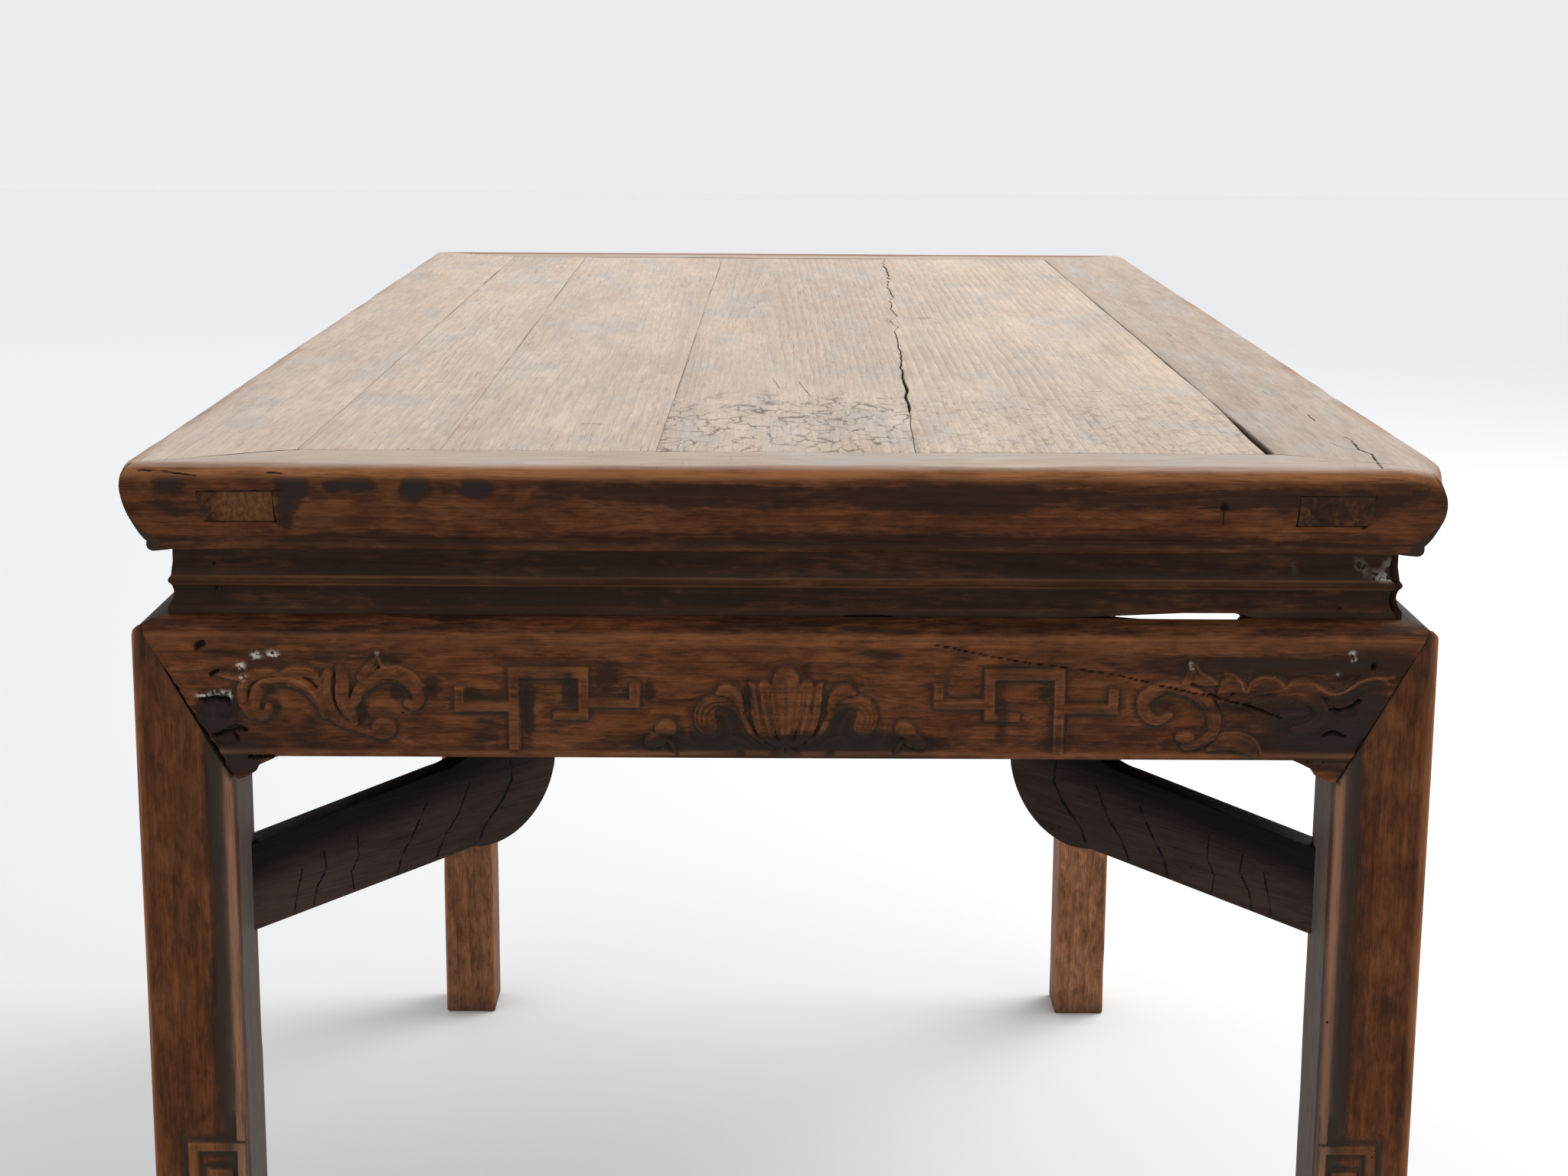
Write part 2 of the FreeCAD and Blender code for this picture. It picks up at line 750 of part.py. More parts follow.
def cut_seam(body, length, end):
    """Cuts the long slanting seam along which the apron rests on the leg's shoulder."""
    half = length * HALF_SHARE
    high = S.apron_face + S.shoulder_rise + S.overrun
    low = -S.spandrel_drop - S.overrun
    outside = end * (half + S.overrun)
    corners = [
        (outside, low),
        (end * (half - seam_in(low)), low),
        (end * (half - seam_in(high)), high),
        (outside, high),
    ]
    line = draw_outline(new_sketch(body, f"seam_line{end}", "XZ_Plane"), corners)
    pocket(body, f"seam{end}", line, 2 * (S.apron_thick + S.overrun), side="Symmetric")


def socket_tenon(body, length, end):
    """Adds the triangular tenon that drops into the socket behind the leg's shoulder."""
    half = length * HALF_SHARE
    out = S.socket_out
    inward = out + S.socket_width
    corners = box_corners(
        end * (half - out), end * (half - inward), seam_height(inward), seam_height(out)
    )
    line = new_sketch(body, f"tenon_line{end}", "XZ_Plane", offset=(0, 0, -S.socket_in))
    pad(body, f"tenon{end}", draw_outline(line, corners), S.socket_thick, reverse=True)


def pin_corners(across, root, tip, sign):
    """Lists the section of a hanging pin, narrow at its root and wide at its tip."""
    neck = S.pin_neck * HALF_SHARE
    wide = neck + S.pin_flare
    return [
        (across - sign * neck, root),
        (across + sign * neck, root),
        (across + sign * wide, tip),
        (across - sign * wide, tip),
    ]


def pin_groove(body, length, end):
    """Cuts the dovetailed groove that slides down over the leg's hanging pin."""
    middle = end * (length * HALF_SHARE - POST_MIDDLE)
    corners = pin_corners(middle, S.apron_thick, S.apron_thick - S.pin_depth, 1)
    low = -S.spandrel_drop - S.overrun
    line = new_sketch(body, f"pin_line{end}", "XY_Plane", offset=(0, 0, low))
    high = S.apron_face + S.shoulder_rise - S.pin_cover
    pocket(body, f"pin_groove{end}", draw_outline(line, corners), high - low, reverse=True)


def apron(name, length):
    """Makes an apron along X, its face on y = 0 and its lower edge on z = 0."""
    body = new_body(name)
    section = draw_outline(new_sketch(body, "section", "YZ_Plane"), apron_section())
    pad(body, "board", section, length, side="Symmetric")
    for end in (-1, 1):
        spandrel(body, length, end)
        cut_seam(body, length, end)
        corners = mitre_corners(length * HALF_SHARE, S.apron_thick, S.apron_thick, end)
        cut = draw_outline(new_sketch(body, f"mitre_line{end}", "XY_Plane"), corners)
        high = S.apron_face + S.shoulder_rise + S.overrun
        pocket(body, f"mitre{end}", cut, 2 * high, side="Symmetric")
        socket_tenon(body, length, end)
        pin_groove(body, length, end)
    return body


def leg_section():
    """Lists the section of a leg: round outer arris, and a hollow and a bead by each inner edge."""
    side = S.leg_side
    bead = side - S.bead_width
    hollow = bead - S.hollow_width
    bead_middle = side - S.bead_width * HALF_SHARE
    hollow_middle = bead - S.hollow_width * HALF_SHARE
    bulge = S.leg_round * ROUND_BULGE_SHARE
    return [
        (S.leg_round, 0, bulge, bulge),
        (hollow, 0),
        (bead, S.bead_sink, hollow_middle, S.hollow_depth),
        (side, S.bead_sink, bead_middle, 0),
        (side, side),
        (S.bead_sink, side),
        (S.bead_sink, bead, 0, bead_middle),
        (0, hollow, S.hollow_depth, hollow_middle),
        (0, S.leg_round),
    ]


def swapped(corners):
    """Turns an outline for one outer face into the outline for the other."""
    flipped = []
    for corner in corners:
        pairs = [corner[index:index + 2][::-1] for index in range(0, len(corner), 2)]
        flipped.append(tuple(amount for pair in pairs for amount in pair))
    return flipped


def cut_shoulders(body):
    """Clears the room of both aprons above the slanting shoulders."""
    high = SHOULDER_TOP + S.overrun
    far = S.leg_side + S.overrun
    corners = [
        (seam_in(high - APRON_BOTTOM), high),
        (far, APRON_BOTTOM + seam_height(far)),
        (far, high),
    ]
    room = S.apron_thick + S.overrun
    front = new_sketch(body, "front_seam_line", "XZ_Plane", offset=(0, 0, S.overrun))
    pocket(body, "front_seam", draw_outline(front, corners), room)
    side = new_sketch(body, "side_seam_line", "YZ_Plane", offset=(0, 0, -S.overrun))
    pocket(body, "side_seam", draw_outline(side, corners), room, reverse=True)


def round_nose(body):
    """Carries the aprons' convex shoulder over the nose of the leg."""
    run, rise, run_middle, rise_middle = shoulder_arc()
    corners = [
        (-S.overrun, ARRIS_HEIGHT),
        (0, ARRIS_HEIGHT),
        (run, ARRIS_HEIGHT + rise, run_middle, ARRIS_HEIGHT + rise_middle),
        (run, SHOULDER_TOP + S.overrun),
        (-S.overrun, SHOULDER_TOP + S.overrun),
    ]
    for name, role in (("front_nose", "YZ_Plane"), ("side_nose", "XZ_Plane")):
        line = draw_outline(new_sketch(body, f"{name}_line", role), corners)
        pocket(body, name, line, 2 * (S.leg_side + S.overrun), side="Symmetric")


def hanging_pins(body):
    """Adds the two dovetailed pins that the aprons hang on."""
    low = APRON_BOTTOM - S.spandrel_drop
    high = SHOULDER_TOP - S.pin_cover
    corners = pin_corners(POST_MIDDLE, S.apron_thick, S.apron_thick - S.pin_depth, 1)
    for name, outline in (("front_pin", corners), ("side_pin", swapped(corners))):
        line = new_sketch(body, f"{name}_line", "XY_Plane", offset=(0, 0, low))
        pad(body, name, draw_outline(line, outline), high - low)


def apron_sockets(body):
    """Cuts the two sockets for the aprons' triangular tenons."""
    low = APRON_BOTTOM + seam_height(S.socket_out + S.socket_width)
    corners = box_corners(
        S.socket_out, S.socket_out + S.socket_width, S.socket_in, S.socket_in + S.socket_thick
    )
    for name, outline in (("front_socket", corners), ("side_socket", swapped(corners))):
        line = new_sketch(body, f"{name}_line", "XY_Plane", offset=(0, 0, low))
        pocket(body, name, draw_outline(line, outline), SHOULDER_TOP - low, reverse=True)


def leg_top(body):
    """Adds the slim post behind the waist and the tenon that enters the frame."""
    post = new_sketch(body, "post_line", "XY_Plane", offset=(0, 0, SHOULDER_TOP))
    corners = box_corners(S.apron_thick, S.leg_side, S.apron_thick, S.leg_side)
    pad(body, "post", draw_outline(post, corners), S.waist_height)
    low = POST_MIDDLE - S.post_tenon * HALF_SHARE
    high = POST_MIDDLE + S.post_tenon * HALF_SHARE
    tenon = new_sketch(body, "post_tenon_line", "XY_Plane", offset=(0, 0, FRAME_UNDER))
    draw_outline(tenon, box_corners(low, high, low, high))
    pad(body, "post_tenon", tenon, S.post_tenon_height)


def hook_mortise(body):
    """Cuts the mortise for the brace's hooked tenon across the leg's inner corner."""
    top = S.brace_low + S.hook_low + S.hook_height
    low = S.brace_low + S.hook_low - S.wedge_thick
    corners = [
        (S.overrun, low),
        (S.overrun, top),
        (0, top),
        (-S.hook_length, top + S.hook_rise),
        (-S.hook_length, low),
    ]
    line = new_sketch(
        body,
        "hook_line",
        "XZ_Plane",
        offset=(S.leg_side, 0, -S.leg_side),
        turn=EIGHTH_TURN,
    )
    pocket(body, "hook_mortise", draw_outline(line, corners), S.hook_thick, side="Symmetric")


def leg_front_left():
    """Makes a leg from the floor to its tenon, its two outer faces on x = 0 and y = 0."""
    body = new_body("leg_front_left")
    section = draw_outline(new_sketch(body, "section", "XY_Plane"), leg_section())
    pad(body, "shaft", section, SHOULDER_TOP)
    cut_shoulders(body)
    round_nose(body)
    apron_sockets(body)
    hanging_pins(body)
    leg_top(body)
    hook_mortise(body)
    place(body, x=-S.base_width * HALF_SHARE, y=-S.base_length * HALF_SHARE)
    return body


def brace_outline():
    """Lists the side view of a brace, from the leg's inner corner to its head."""

    def at(shares):
        return S.brace_reach * shares[0], BRACE_RISE * shares[1]

    half = S.brace_head * HALF_SHARE
    back = -S.brace_thick * HALF_SHARE
    return [
        (back, 0),
        at(BRACE_BELLY_SHARES),
        (*at(BRACE_HEEL_SHARES), *at(BRACE_BEND_SHARES)),
        (S.brace_reach + half, BRACE_RISE),
        (S.brace_reach - half, BRACE_RISE),
        at(BRACE_THROAT_TOP_SHARES),
        (*at(BRACE_THROAT_LOW_SHARES), *at(BRACE_THROAT_SHARES)),
        (back, S.brace_depth),
    ]


def brace_hook(body):
    """Adds the hooked tenon at the foot of a brace."""
    top = S.hook_low + S.hook_height
    inside = S.brace_thick * HALF_SHARE
    corners = [
        (inside, S.hook_low),
        (inside, top),
        (0, top),
        (-S.hook_length, top + S.hook_rise),
        (-S.hook_length, S.hook_low),
    ]
    line = draw_outline(new_sketch(body, "hook_line", "XZ_Plane"), corners)
    pad(body, "hook", line, S.hook_thick, side="Symmetric")


def brace_front_left():
    """Makes a giant's-arm brace in its own upright plane, from the leg's inner arris along +X."""
    body = new_body("brace_front_left")
    side_view = draw_outline(new_sketch(body, "side_view", "XZ_Plane"), brace_outline())
    pad(body, "arm", side_view, S.brace_thick, side="Symmetric")
    notch = S.brace_thick * HALF_SHARE + S.overrun
    corners = [(0, 0), (-notch, notch), (-notch, -notch)]
    line = draw_outline(new_sketch(body, "notch_line", "XY_Plane"), corners)
    pocket(body, "notch", line, 2 * (S.brace_depth + S.overrun), side="Symmetric")
    brace_hook(body)
    half = S.head_tenon * HALF_SHARE
    thin = S.hook_thick * HALF_SHARE
    head = new_sketch(body, "head_line", "XY_Plane", offset=(0, 0, BRACE_RISE))
    draw_outline(head, box_corners(S.brace_reach - half, S.brace_reach + half, -thin, thin))
    pad(body, "head_tenon", head, S.head_tenon_height)
    ring = new_sketch(
        body, "peg_line", "XZ_Plane", offset=(S.brace_reach, 0, 0), turn=-EIGHTH_TURN
    )
    draw_circle(ring, 0, BRACE_RISE + S.head_tenon_height * HALF_SHARE, S.peg_radius + S.peg_play)
    pocket(body, "peg_hole", ring, 2 * S.brace_head, side="Symmetric")
    corner_x = S.leg_side - S.base_width * HALF_SHARE
    corner_y = S.leg_side - S.base_length * HALF_SHARE
    place(body, x=corner_x, y=corner_y, z=S.brace_low, turn=EIGHTH_TURN)
    return body


def grouped(name, solids):
    """Gathers like pieces under one name, each still its own solid."""
    group = doc.addObject("Part::Compound", name)
    group.Label = name
    group.Links = solids
    return group


def brace_pins():
    """Makes the four round pegs that hold the braces' heads in the battens."""
    peg = doc.addObject("Part::Cylinder", "pin")
    peg.setExpression("Radius", S.peg_radius.text)
    peg.setExpression("Height", S.batten_width.text)
    across = S.base_width * HALF_SHARE - S.leg_side - BRACE_STEP
    near = -BATTEN_OUT + S.batten_width * HALF_SHARE
    height = BATTEN_UNDER + S.head_tenon_height * HALF_SHARE
    lying = FreeCAD.Rotation(FreeCAD.Vector(1, 0, 0), QUARTER_TURN)
    peg.Placement = FreeCAD.Placement(vector(-across, near, height), lying)
    for axis, amount in (("x", -across), ("y", near), ("z", height)):
        peg.setExpression(f"Placement.Base.{axis}", amount.text)
    return grouped("brace_pins", four_corners(peg, "pin"))


def brace_wedges():
    """Makes the four wedges that fill the mortises under the braces' hooks."""
    body = new_body("wedge")
    long = S.hook_length
    corners = box_corners(-long, -S.wedge_set_in, S.hook_low - S.wedge_thick, S.hook_low)
    line = draw_outline(new_sketch(body, "side_view", "XZ_Plane"), corners)
    pad(body, "block", line, S.hook_thick, side="Symmetric")
    corner_x = S.leg_side - S.base_width * HALF_SHARE
    corner_y = S.leg_side - S.base_length * HALF_SHARE
    place(body, x=corner_x, y=corner_y, z=S.brace_low, turn=EIGHTH_TURN)
    return grouped("brace_wedges", four_corners(body, "wedge"))


def top_frame():
    """Makes the four rails of the mitred frame."""
    left = top_rail_left()
    front = top_rail_front()
    return [
        left,
        mirrored(left, "top_rail_right", ACROSS_WIDTH),
        front,
        mirrored(front, "top_rail_rear", ACROSS_LENGTH),
    ]


def panel():
    """Makes the four boards and the three battens of the floating panel."""
    names = ("left", "centre_left", "centre_right", "right")
    boards = [top_board(f"top_board_{name}", number) for number, name in enumerate(names)]
    return boards + [
        brace_batten("batten_front", -BATTEN_OUT, 1),
        batten("batten_middle"),
        brace_batten("batten_rear", BATTEN_OUT, -1),
    ]


def waist():
    """Makes the four waist boards."""
    front = waist_board("waist_front", S.base_width)
    place(front, y=-S.base_length * HALF_SHARE, z=SHOULDER_TOP)
    left = waist_board("waist_left", S.base_length)
    place(left, x=-S.base_width * HALF_SHARE, z=SHOULDER_TOP, turn=-QUARTER_TURN)
    return [
        front,
        mirrored(front, "waist_rear", ACROSS_LENGTH),
        left,
        mirrored(left, "waist_right", ACROSS_WIDTH),
    ]


def aprons():
    """Makes the four aprons."""
    front = apron("apron_front", S.base_width)
    place(front, y=-S.base_length * HALF_SHARE, z=APRON_BOTTOM)
    left = apron("apron_left", S.base_length)
    place(left, x=-S.base_width * HALF_SHARE, z=APRON_BOTTOM, turn=-QUARTER_TURN)
    return [
        front,
        mirrored(front, "apron_rear", ACROSS_LENGTH),
        left,
        mirrored(left, "apron_right", ACROSS_WIDTH),
    ]


def check_document():
    """Stops if any object of the document failed."""
    for item in doc.Objects:
        if "Invalid" in item.State or "Error" in item.State:
            raise ValueError(f"{item.Label} failed: {item.State}")


def write_pieces(pieces):
    """Writes each piece to its own file once all of them are sound."""
    for piece in pieces:
        if piece.Shape.isNull() or not piece.Shape.isValid():
            raise ValueError(f"{piece.Label} has no valid shape")
    os.makedirs("parts", exist_ok=True)
    for piece in pieces:
        piece.Shape.exportStep(f"parts/{piece.Label}.step")
        solids = len(piece.Shape.Solids)
        print(f"{piece.Label}: {solids} solid(s), {piece.Shape.Volume:.0f} mm3")


def main():
    pieces = top_frame() + panel() + waist() + aprons()
    pieces += four_corners(leg_front_left(), "leg")
    pieces += four_corners(brace_front_left(), "brace")
    pieces += [brace_pins(), brace_wedges()]
    doc.recompute()
    check_document()
    write_pieces(pieces)


main()
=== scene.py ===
"""Chinese altar table: the aged wood, the carving and the camera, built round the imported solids."""

import math
from contextlib import contextmanager

import bmesh
import bpy
import numpy as np
from bpy.props import FloatProperty, FloatVectorProperty, PointerProperty
from mathutils import Euler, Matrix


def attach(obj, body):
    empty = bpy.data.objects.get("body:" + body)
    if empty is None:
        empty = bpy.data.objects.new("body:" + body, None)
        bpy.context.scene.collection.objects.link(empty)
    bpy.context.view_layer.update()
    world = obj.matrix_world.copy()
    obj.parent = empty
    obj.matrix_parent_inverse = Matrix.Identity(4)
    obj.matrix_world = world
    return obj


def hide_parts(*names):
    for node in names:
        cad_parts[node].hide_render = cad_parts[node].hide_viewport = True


bl_info = {
    "name": "Chinese Altar Table",
    "version": (1, 0, 0),
    "blender": (4, 5, 0),
    "location": "View3D > Sidebar > Altar Table",
    "description": "Builds a weathered waisted altar table with carved aprons",
    "category": "Add Mesh",
}

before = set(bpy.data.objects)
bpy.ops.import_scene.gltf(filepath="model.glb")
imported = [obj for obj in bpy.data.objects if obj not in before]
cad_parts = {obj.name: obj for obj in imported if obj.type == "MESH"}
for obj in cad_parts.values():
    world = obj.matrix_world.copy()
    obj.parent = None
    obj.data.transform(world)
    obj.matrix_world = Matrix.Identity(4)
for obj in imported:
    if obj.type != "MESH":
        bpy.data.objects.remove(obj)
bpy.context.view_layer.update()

MM = 0.001
HALF_WIDTH = 365.0
HALF_LENGTH = 630.0
TOP_HALF_WIDTH = 366.5
TOP_HALF_LENGTH = 631.5
RAIL_LONG = 89.0
RAIL_SHORT = 50.0
TABLE_HEIGHT = 840.0
FRAME_UNDER = 789.0
WAIST_FOOT = 751.0
ARRIS_HEIGHT = 743.0
APRON_FOOT = 673.0
LEG_SIDE = 54.0
APRON_THICK = 30.0
SEAM_TOP = 8.0
SPANDREL_DROP = 13.5
SPANDREL_REACH = 25.0
MORTISE_LEVELS = (806.9, 825.1)
MORTISE_SPAN = (282.5, 324.5)
TENON_PLAY = 0.12
FRET_SPAN = (369.0, 467.0)
SLIT_SPAN = (164.0, 260.0)
GRAIN_CONTRAST = 0.55
LINE_SHAKE = 0.0014
PHOTO_WIDTH = 2048
FOCAL_PIXELS = 3102.4
# The marks that a mesh carries for its wood; some of them also carry painted highlight, shade and
# sheen.
MARKS = ("wear_and_highlight", "grime_and_shade", "bleach_and_sheen", "endgrain", "stain_and_shade", "paint")
SEAM_SLOPE = (LEG_SIDE - SEAM_TOP) / (ARRIS_HEIGHT - APRON_FOOT + SPANDREL_DROP)


# Settings that a user would change

class TableSizes(bpy.types.PropertyGroup):
    arris_wear: FloatProperty(
        name="Arris Wear", description="How far the edges of the wood are rubbed away",
        default=0.0009, min=0, unit="LENGTH")
    surface_drift: FloatProperty(
        name="Surface Drift", description="How far planed faces wander from true",
        default=0.00025, min=0, unit="LENGTH")
    relief_rise: FloatProperty(
        name="Relief Rise", description="How far the carving stands above the face",
        default=0.0003, min=0, unit="LENGTH")
    relief_crown: FloatProperty(
        name="Relief Crown", description="How much a carved band swells at its middle",
        default=0.0015, min=0, unit="LENGTH")
    ground_sink: FloatProperty(
        name="Ground Sink", description="How deep the ground is cut beside the carving",
        default=0.0023, min=0, unit="LENGTH")
    ground_reach: FloatProperty(
        name="Ground Reach", description="How far the sunk ground runs from the carving",
        default=0.0065, min=0.0005, unit="LENGTH")
    crack_depth: FloatProperty(
        name="Crack Depth", description="Depth of the cracks and holes in the aprons",
        default=0.005, min=0, unit="LENGTH")
    joint_gap: FloatProperty(
        name="Joint Gap", description="Shrinkage gap at the joints between the pieces",
        default=0.0002, min=0, unit="LENGTH")
    panel_gap: FloatProperty(
        name="Panel Gap", description="Widest gap between the right board and its rail",
        default=0.0042, min=0, unit="LENGTH")
    slit_height: FloatProperty(
        name="Slit Height", description="Height of the slit under the front waist board",
        default=0.0028, min=0, unit="LENGTH")
    carving_step: FloatProperty(
        name="Carving Step", description="Spacing of the points that hold the carving",
        default=0.0008, min=0.0005, unit="LENGTH")
    length_step: FloatProperty(
        name="Length Step", description="Spacing of the points along plain timber",
        default=0.006, min=0.001, unit="LENGTH")


class TableColours(bpy.types.PropertyGroup):
    warm: FloatVectorProperty(
        name="Warm Brown", description="Worn brown of the legs and aprons",
        default=(0.112, 0.038, 0.014), subtype="COLOR", min=0, max=1)
    # Also the colour of the painted shade in the legs' hollows and under the front apron's arris.
    dark: FloatVectorProperty(
        name="Dark Stain", description="Old dark stain left in the hollows",
        default=(0.024, 0.0112, 0.0072), subtype="COLOR", min=0, max=1)
    # Also the colour of the painted highlights on the carving and on the right legs' outer corner.
    worn: FloatVectorProperty(
        name="Worn Arris", description="Orange brown where edges are rubbed",
        default=(0.37, 0.15, 0.058), subtype="COLOR", min=0, max=1)
    bleached: FloatVectorProperty(
        name="Bleached Top", description="Dry tan of the weathered top",
        default=(0.565, 0.452, 0.36), subtype="COLOR", min=0, max=1)
    weathered: FloatVectorProperty(
        name="Weathered Grey", description="Grey brown patches of the top",
        default=(0.44, 0.35, 0.28), subtype="COLOR", min=0, max=1)
    amber: FloatVectorProperty(
        name="Amber Patches", description="Warm patches of the top near knots and edges",
        default=(0.58, 0.36, 0.21), subtype="COLOR", min=0, max=1)
    # Also the colour of the painted sheen on the front legs.
    silver_and_sheen: FloatVectorProperty(
        name="Silver Patches", description="Cool grey patches of the top",
        default=(0.44, 0.42, 0.39), subtype="COLOR", min=0, max=1)
    # Also the colour of the painted shade in the carving and in the legs' hollows.
    dust_and_shade: FloatVectorProperty(
        name="Dust", description="Grey brown dust in the carving and the joints",
        default=(0.036, 0.028, 0.021), subtype="COLOR", min=0, max=1)
    soot: FloatVectorProperty(
        name="Soot", description="Blue black blots on the rails and in the carving",
        default=(0.02, 0.0165, 0.016), subtype="COLOR", min=0, max=1)
    brace: FloatVectorProperty(
        name="Brace Wood", description="Purple brown of the braces",
        default=(0.0168, 0.0102, 0.009), subtype="COLOR", min=0, max=1)
    raw: FloatVectorProperty(
        name="Bare Wood", description="Undressed wood under the top",
        default=(0.17, 0.095, 0.05), subtype="COLOR", min=0, max=1)
    paint: FloatVectorProperty(
        name="Paint Specks", description="Old white paint caught in the corners",
        default=(0.55, 0.52, 0.45), subtype="COLOR", min=0, max=1)
    # Painted light: a lighter brown for the rear legs, as if more light fell on them.
    rear_leg_lit: FloatVectorProperty(
        name="Rear Leg Brown", description="Lighter brown of the rear legs",
        default=(0.25, 0.11, 0.053), subtype="COLOR", min=0, max=1)
    floor: FloatVectorProperty(
        name="Floor", description="Pale studio floor",
        default=(0.75, 0.75, 0.74), subtype="COLOR", min=0, max=1)


def sizes():
    return bpy.context.scene.altar_table_sizes


def colours():
    return bpy.context.scene.altar_table_colours


# Smooth random numbers

def ripple(place, size, seed):
    """Random numbers from -1 to 1 that change smoothly along a length."""
    step = np.asarray(place, float) / size
    base = np.floor(step).astype(int)
    low = base.min()
    table = np.random.default_rng(seed).uniform(-1, 1, base.max() - low + 2)
    part = step - base
    part = part * part * (3 - 2 * part)
    return table[base - low] * (1 - part) + table[base - low + 1] * part


def patches(first, second, size_first, size_second, seed):
    """Random numbers from -1 to 1 that change smoothly over a face."""
    first, second = np.broadcast_arrays(first / size_first, second / size_second)
    base_a, base_b = np.floor(first).astype(int), np.floor(second).astype(int)
    low_a, low_b = base_a.min(), base_b.min()
    shape = (base_a.max() - low_a + 2, base_b.max() - low_b + 2)
    table = np.random.default_rng(seed).uniform(-1, 1, shape)
    part_a, part_b = first - base_a, second - base_b
    part_a = part_a * part_a * (3 - 2 * part_a)
    part_b = part_b * part_b * (3 - 2 * part_b)
    row, column = base_a - low_a, base_b - low_b
    near = table[row, column] * (1 - part_a) + table[row + 1, column] * part_a
    far = table[row, column + 1] * (1 - part_a) + table[row + 1, column + 1] * part_a
    return near * (1 - part_b) + far * part_b


def eased(value, low, high):
    """A soft step from 0 at low to 1 at high."""
    share = np.clip((value - low) / (high - low), 0, 1)
    return share * share * (3 - 2 * share)


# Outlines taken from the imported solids

def outline_of(node, axis, place):
    """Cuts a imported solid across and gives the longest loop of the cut, in millimetres."""
    shape = bmesh.new()
    shape.from_mesh(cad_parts[node].data)
    bmesh.ops.remove_doubles(shape, verts=shape.verts, dist=1e-6)
    normal = [0.0, 0.0, 0.0]
    normal[axis] = 1.0
    point = [part * place * MM for part in normal]
    cut = bmesh.ops.bisect_plane(
        shape, geom=shape.verts[:] + shape.edges[:] + shape.faces[:],
        plane_co=point, plane_no=normal)
    edges = [item for item in cut["geom_cut"] if isinstance(item, bmesh.types.BMEdge)]
    loops = []
    left = set(edges)
    while left:
        edge = left.pop()
        loop = [edge.verts[0], edge.verts[1]]
        while loop[-1] is not loop[0]:
            following = [item for item in loop[-1].link_edges if item in left]
            if not following:
                break
            left.discard(following[0])
            loop.append(following[0].other_vert(loop[-1]))
        loops.append(np.array([vert.co[:] for vert in loop[:-1]]) / MM)
    shape.free()
    keep = [number for number in range(3) if number != axis]
    return max(loops, key=len)[:, keep]


def trimmed(outline, tolerance=0.03):
    """Drops the points of an outline that lie on a straight run."""
    points = list(map(tuple, outline))
    index = 0
    while index < len(points) and len(points) > 4:
        before, here, after = (np.array(points[(index + k) % len(points)]) for k in (-1, 0, 1))
        run = after - before
        off = abs(run[0] * (here - before)[1] - run[1] * (here - before)[0])
        if off / (np.hypot(*run) + 1e-9) < tolerance:
            points.pop(index)
            index = max(index - 1, 0)
        else:
            index += 1
    return np.array(points)


def turned_left(outline):
    """Puts the points of an outline in anticlockwise order."""
    ahead = np.roll(outline, -1, axis=0)
    area = np.sum(outline[:, 0] * ahead[:, 1] - outline[:, 1] * ahead[:, 0])
    return outline if area > 0 else outline[::-1]


def filled_in(outline, step):
    """Adds points along an outline so that none is further than a step from the next."""
    points = []
    for here, after in zip(outline, np.roll(outline, -1, axis=0)):
        count = max(1, int(np.ceil(np.hypot(*(after - here)) / step)))
        points += [here + (after - here) * number / count for number in range(count)]
    return np.array(points)


def softened(ring):
    """Averages each value of a closed ring with its neighbours."""
    return ring * 0.5 + (np.roll(ring, 1, axis=0) + np.roll(ring, -1, axis=0)) * 0.25


def rubbed(outline, softness, fine=0.5, longest=7.0, turn=0.10):
    """Rounds an outline as use does; gives its points, and how much each is worn or dirty."""
    points = filled_in(trimmed(turned_left(outline)), fine)
    for _ in range(max(1, int(2 * (softness / fine) ** 2))):
        points = softened(points)
    ahead = np.roll(points, -1, axis=0) - points
    heading = np.unwrap(np.arctan2(ahead[:, 1], ahead[:, 0]))
    bend = heading - np.roll(heading, 1)
    bend = (bend + np.pi) % (2 * np.pi) - np.pi
    for _ in range(4):
        bend = softened(bend)
    wear_and_highlight = np.clip(bend / 0.12, 0, 1)
    grime_and_shade = np.clip(-bend / 0.10, 0, 1)
    kept, run, swing = [0], 0.0, 0.0
    for index in range(1, len(points)):
        run += np.hypot(*(points[index] - points[index - 1]))
        swing += abs(bend[index])
        if run >= longest or (swing > turn and run > 0.6):
            kept.append(index)
            run, swing = 0.0, 0.0
    return points[kept], wear_and_highlight[kept], grime_and_shade[kept]


def with_levels(section, wear_and_highlight, grime_and_shade, levels, reach=12.0):
    """Adds points to a section where its outer side passes the given heights."""
    table = np.column_stack([section, wear_and_highlight, grime_and_shade])
    for level in levels:
        rows = []
        for here, after in zip(table, np.roll(table, -1, axis=0)):
            rows.append(here)
            if min(here[0], after[0]) < reach and (here[1] - level) * (after[1] - level) < 0:
                rows.append(here + (after - here) * (level - here[1]) / (after[1] - here[1]))
        table = np.array(rows)
    return table[:, :2], table[:, 2], table[:, 3]


# Meshes made of rings

@contextmanager
def opened(mesh):
    """Gives the points and faces of a mesh to be changed, and puts them back."""
    shape = bmesh.new()
    shape.from_mesh(mesh)
    yield shape
    shape.to_mesh(mesh)
    shape.free()


def shown(name, data):
    """A new object in the scene."""
    piece = bpy.data.objects.new(name, data)
    bpy.context.scene.collection.objects.link(piece)
    return piece


def put_marks(mesh, marks):
    """Stores marks such as wear and grime on the points of a mesh."""
    for name, values in marks.items():
        layer = mesh.attributes.new(name, "FLOAT", "POINT")
        layer.data.foreach_set("value", np.asarray(values, np.float32))


def smoothed(mesh, angle):
    """Shades a mesh smooth, but for edges sharper than an angle."""
    mesh.shade_smooth()
    mesh.set_sharp_from_angle(angle=math.radians(angle))


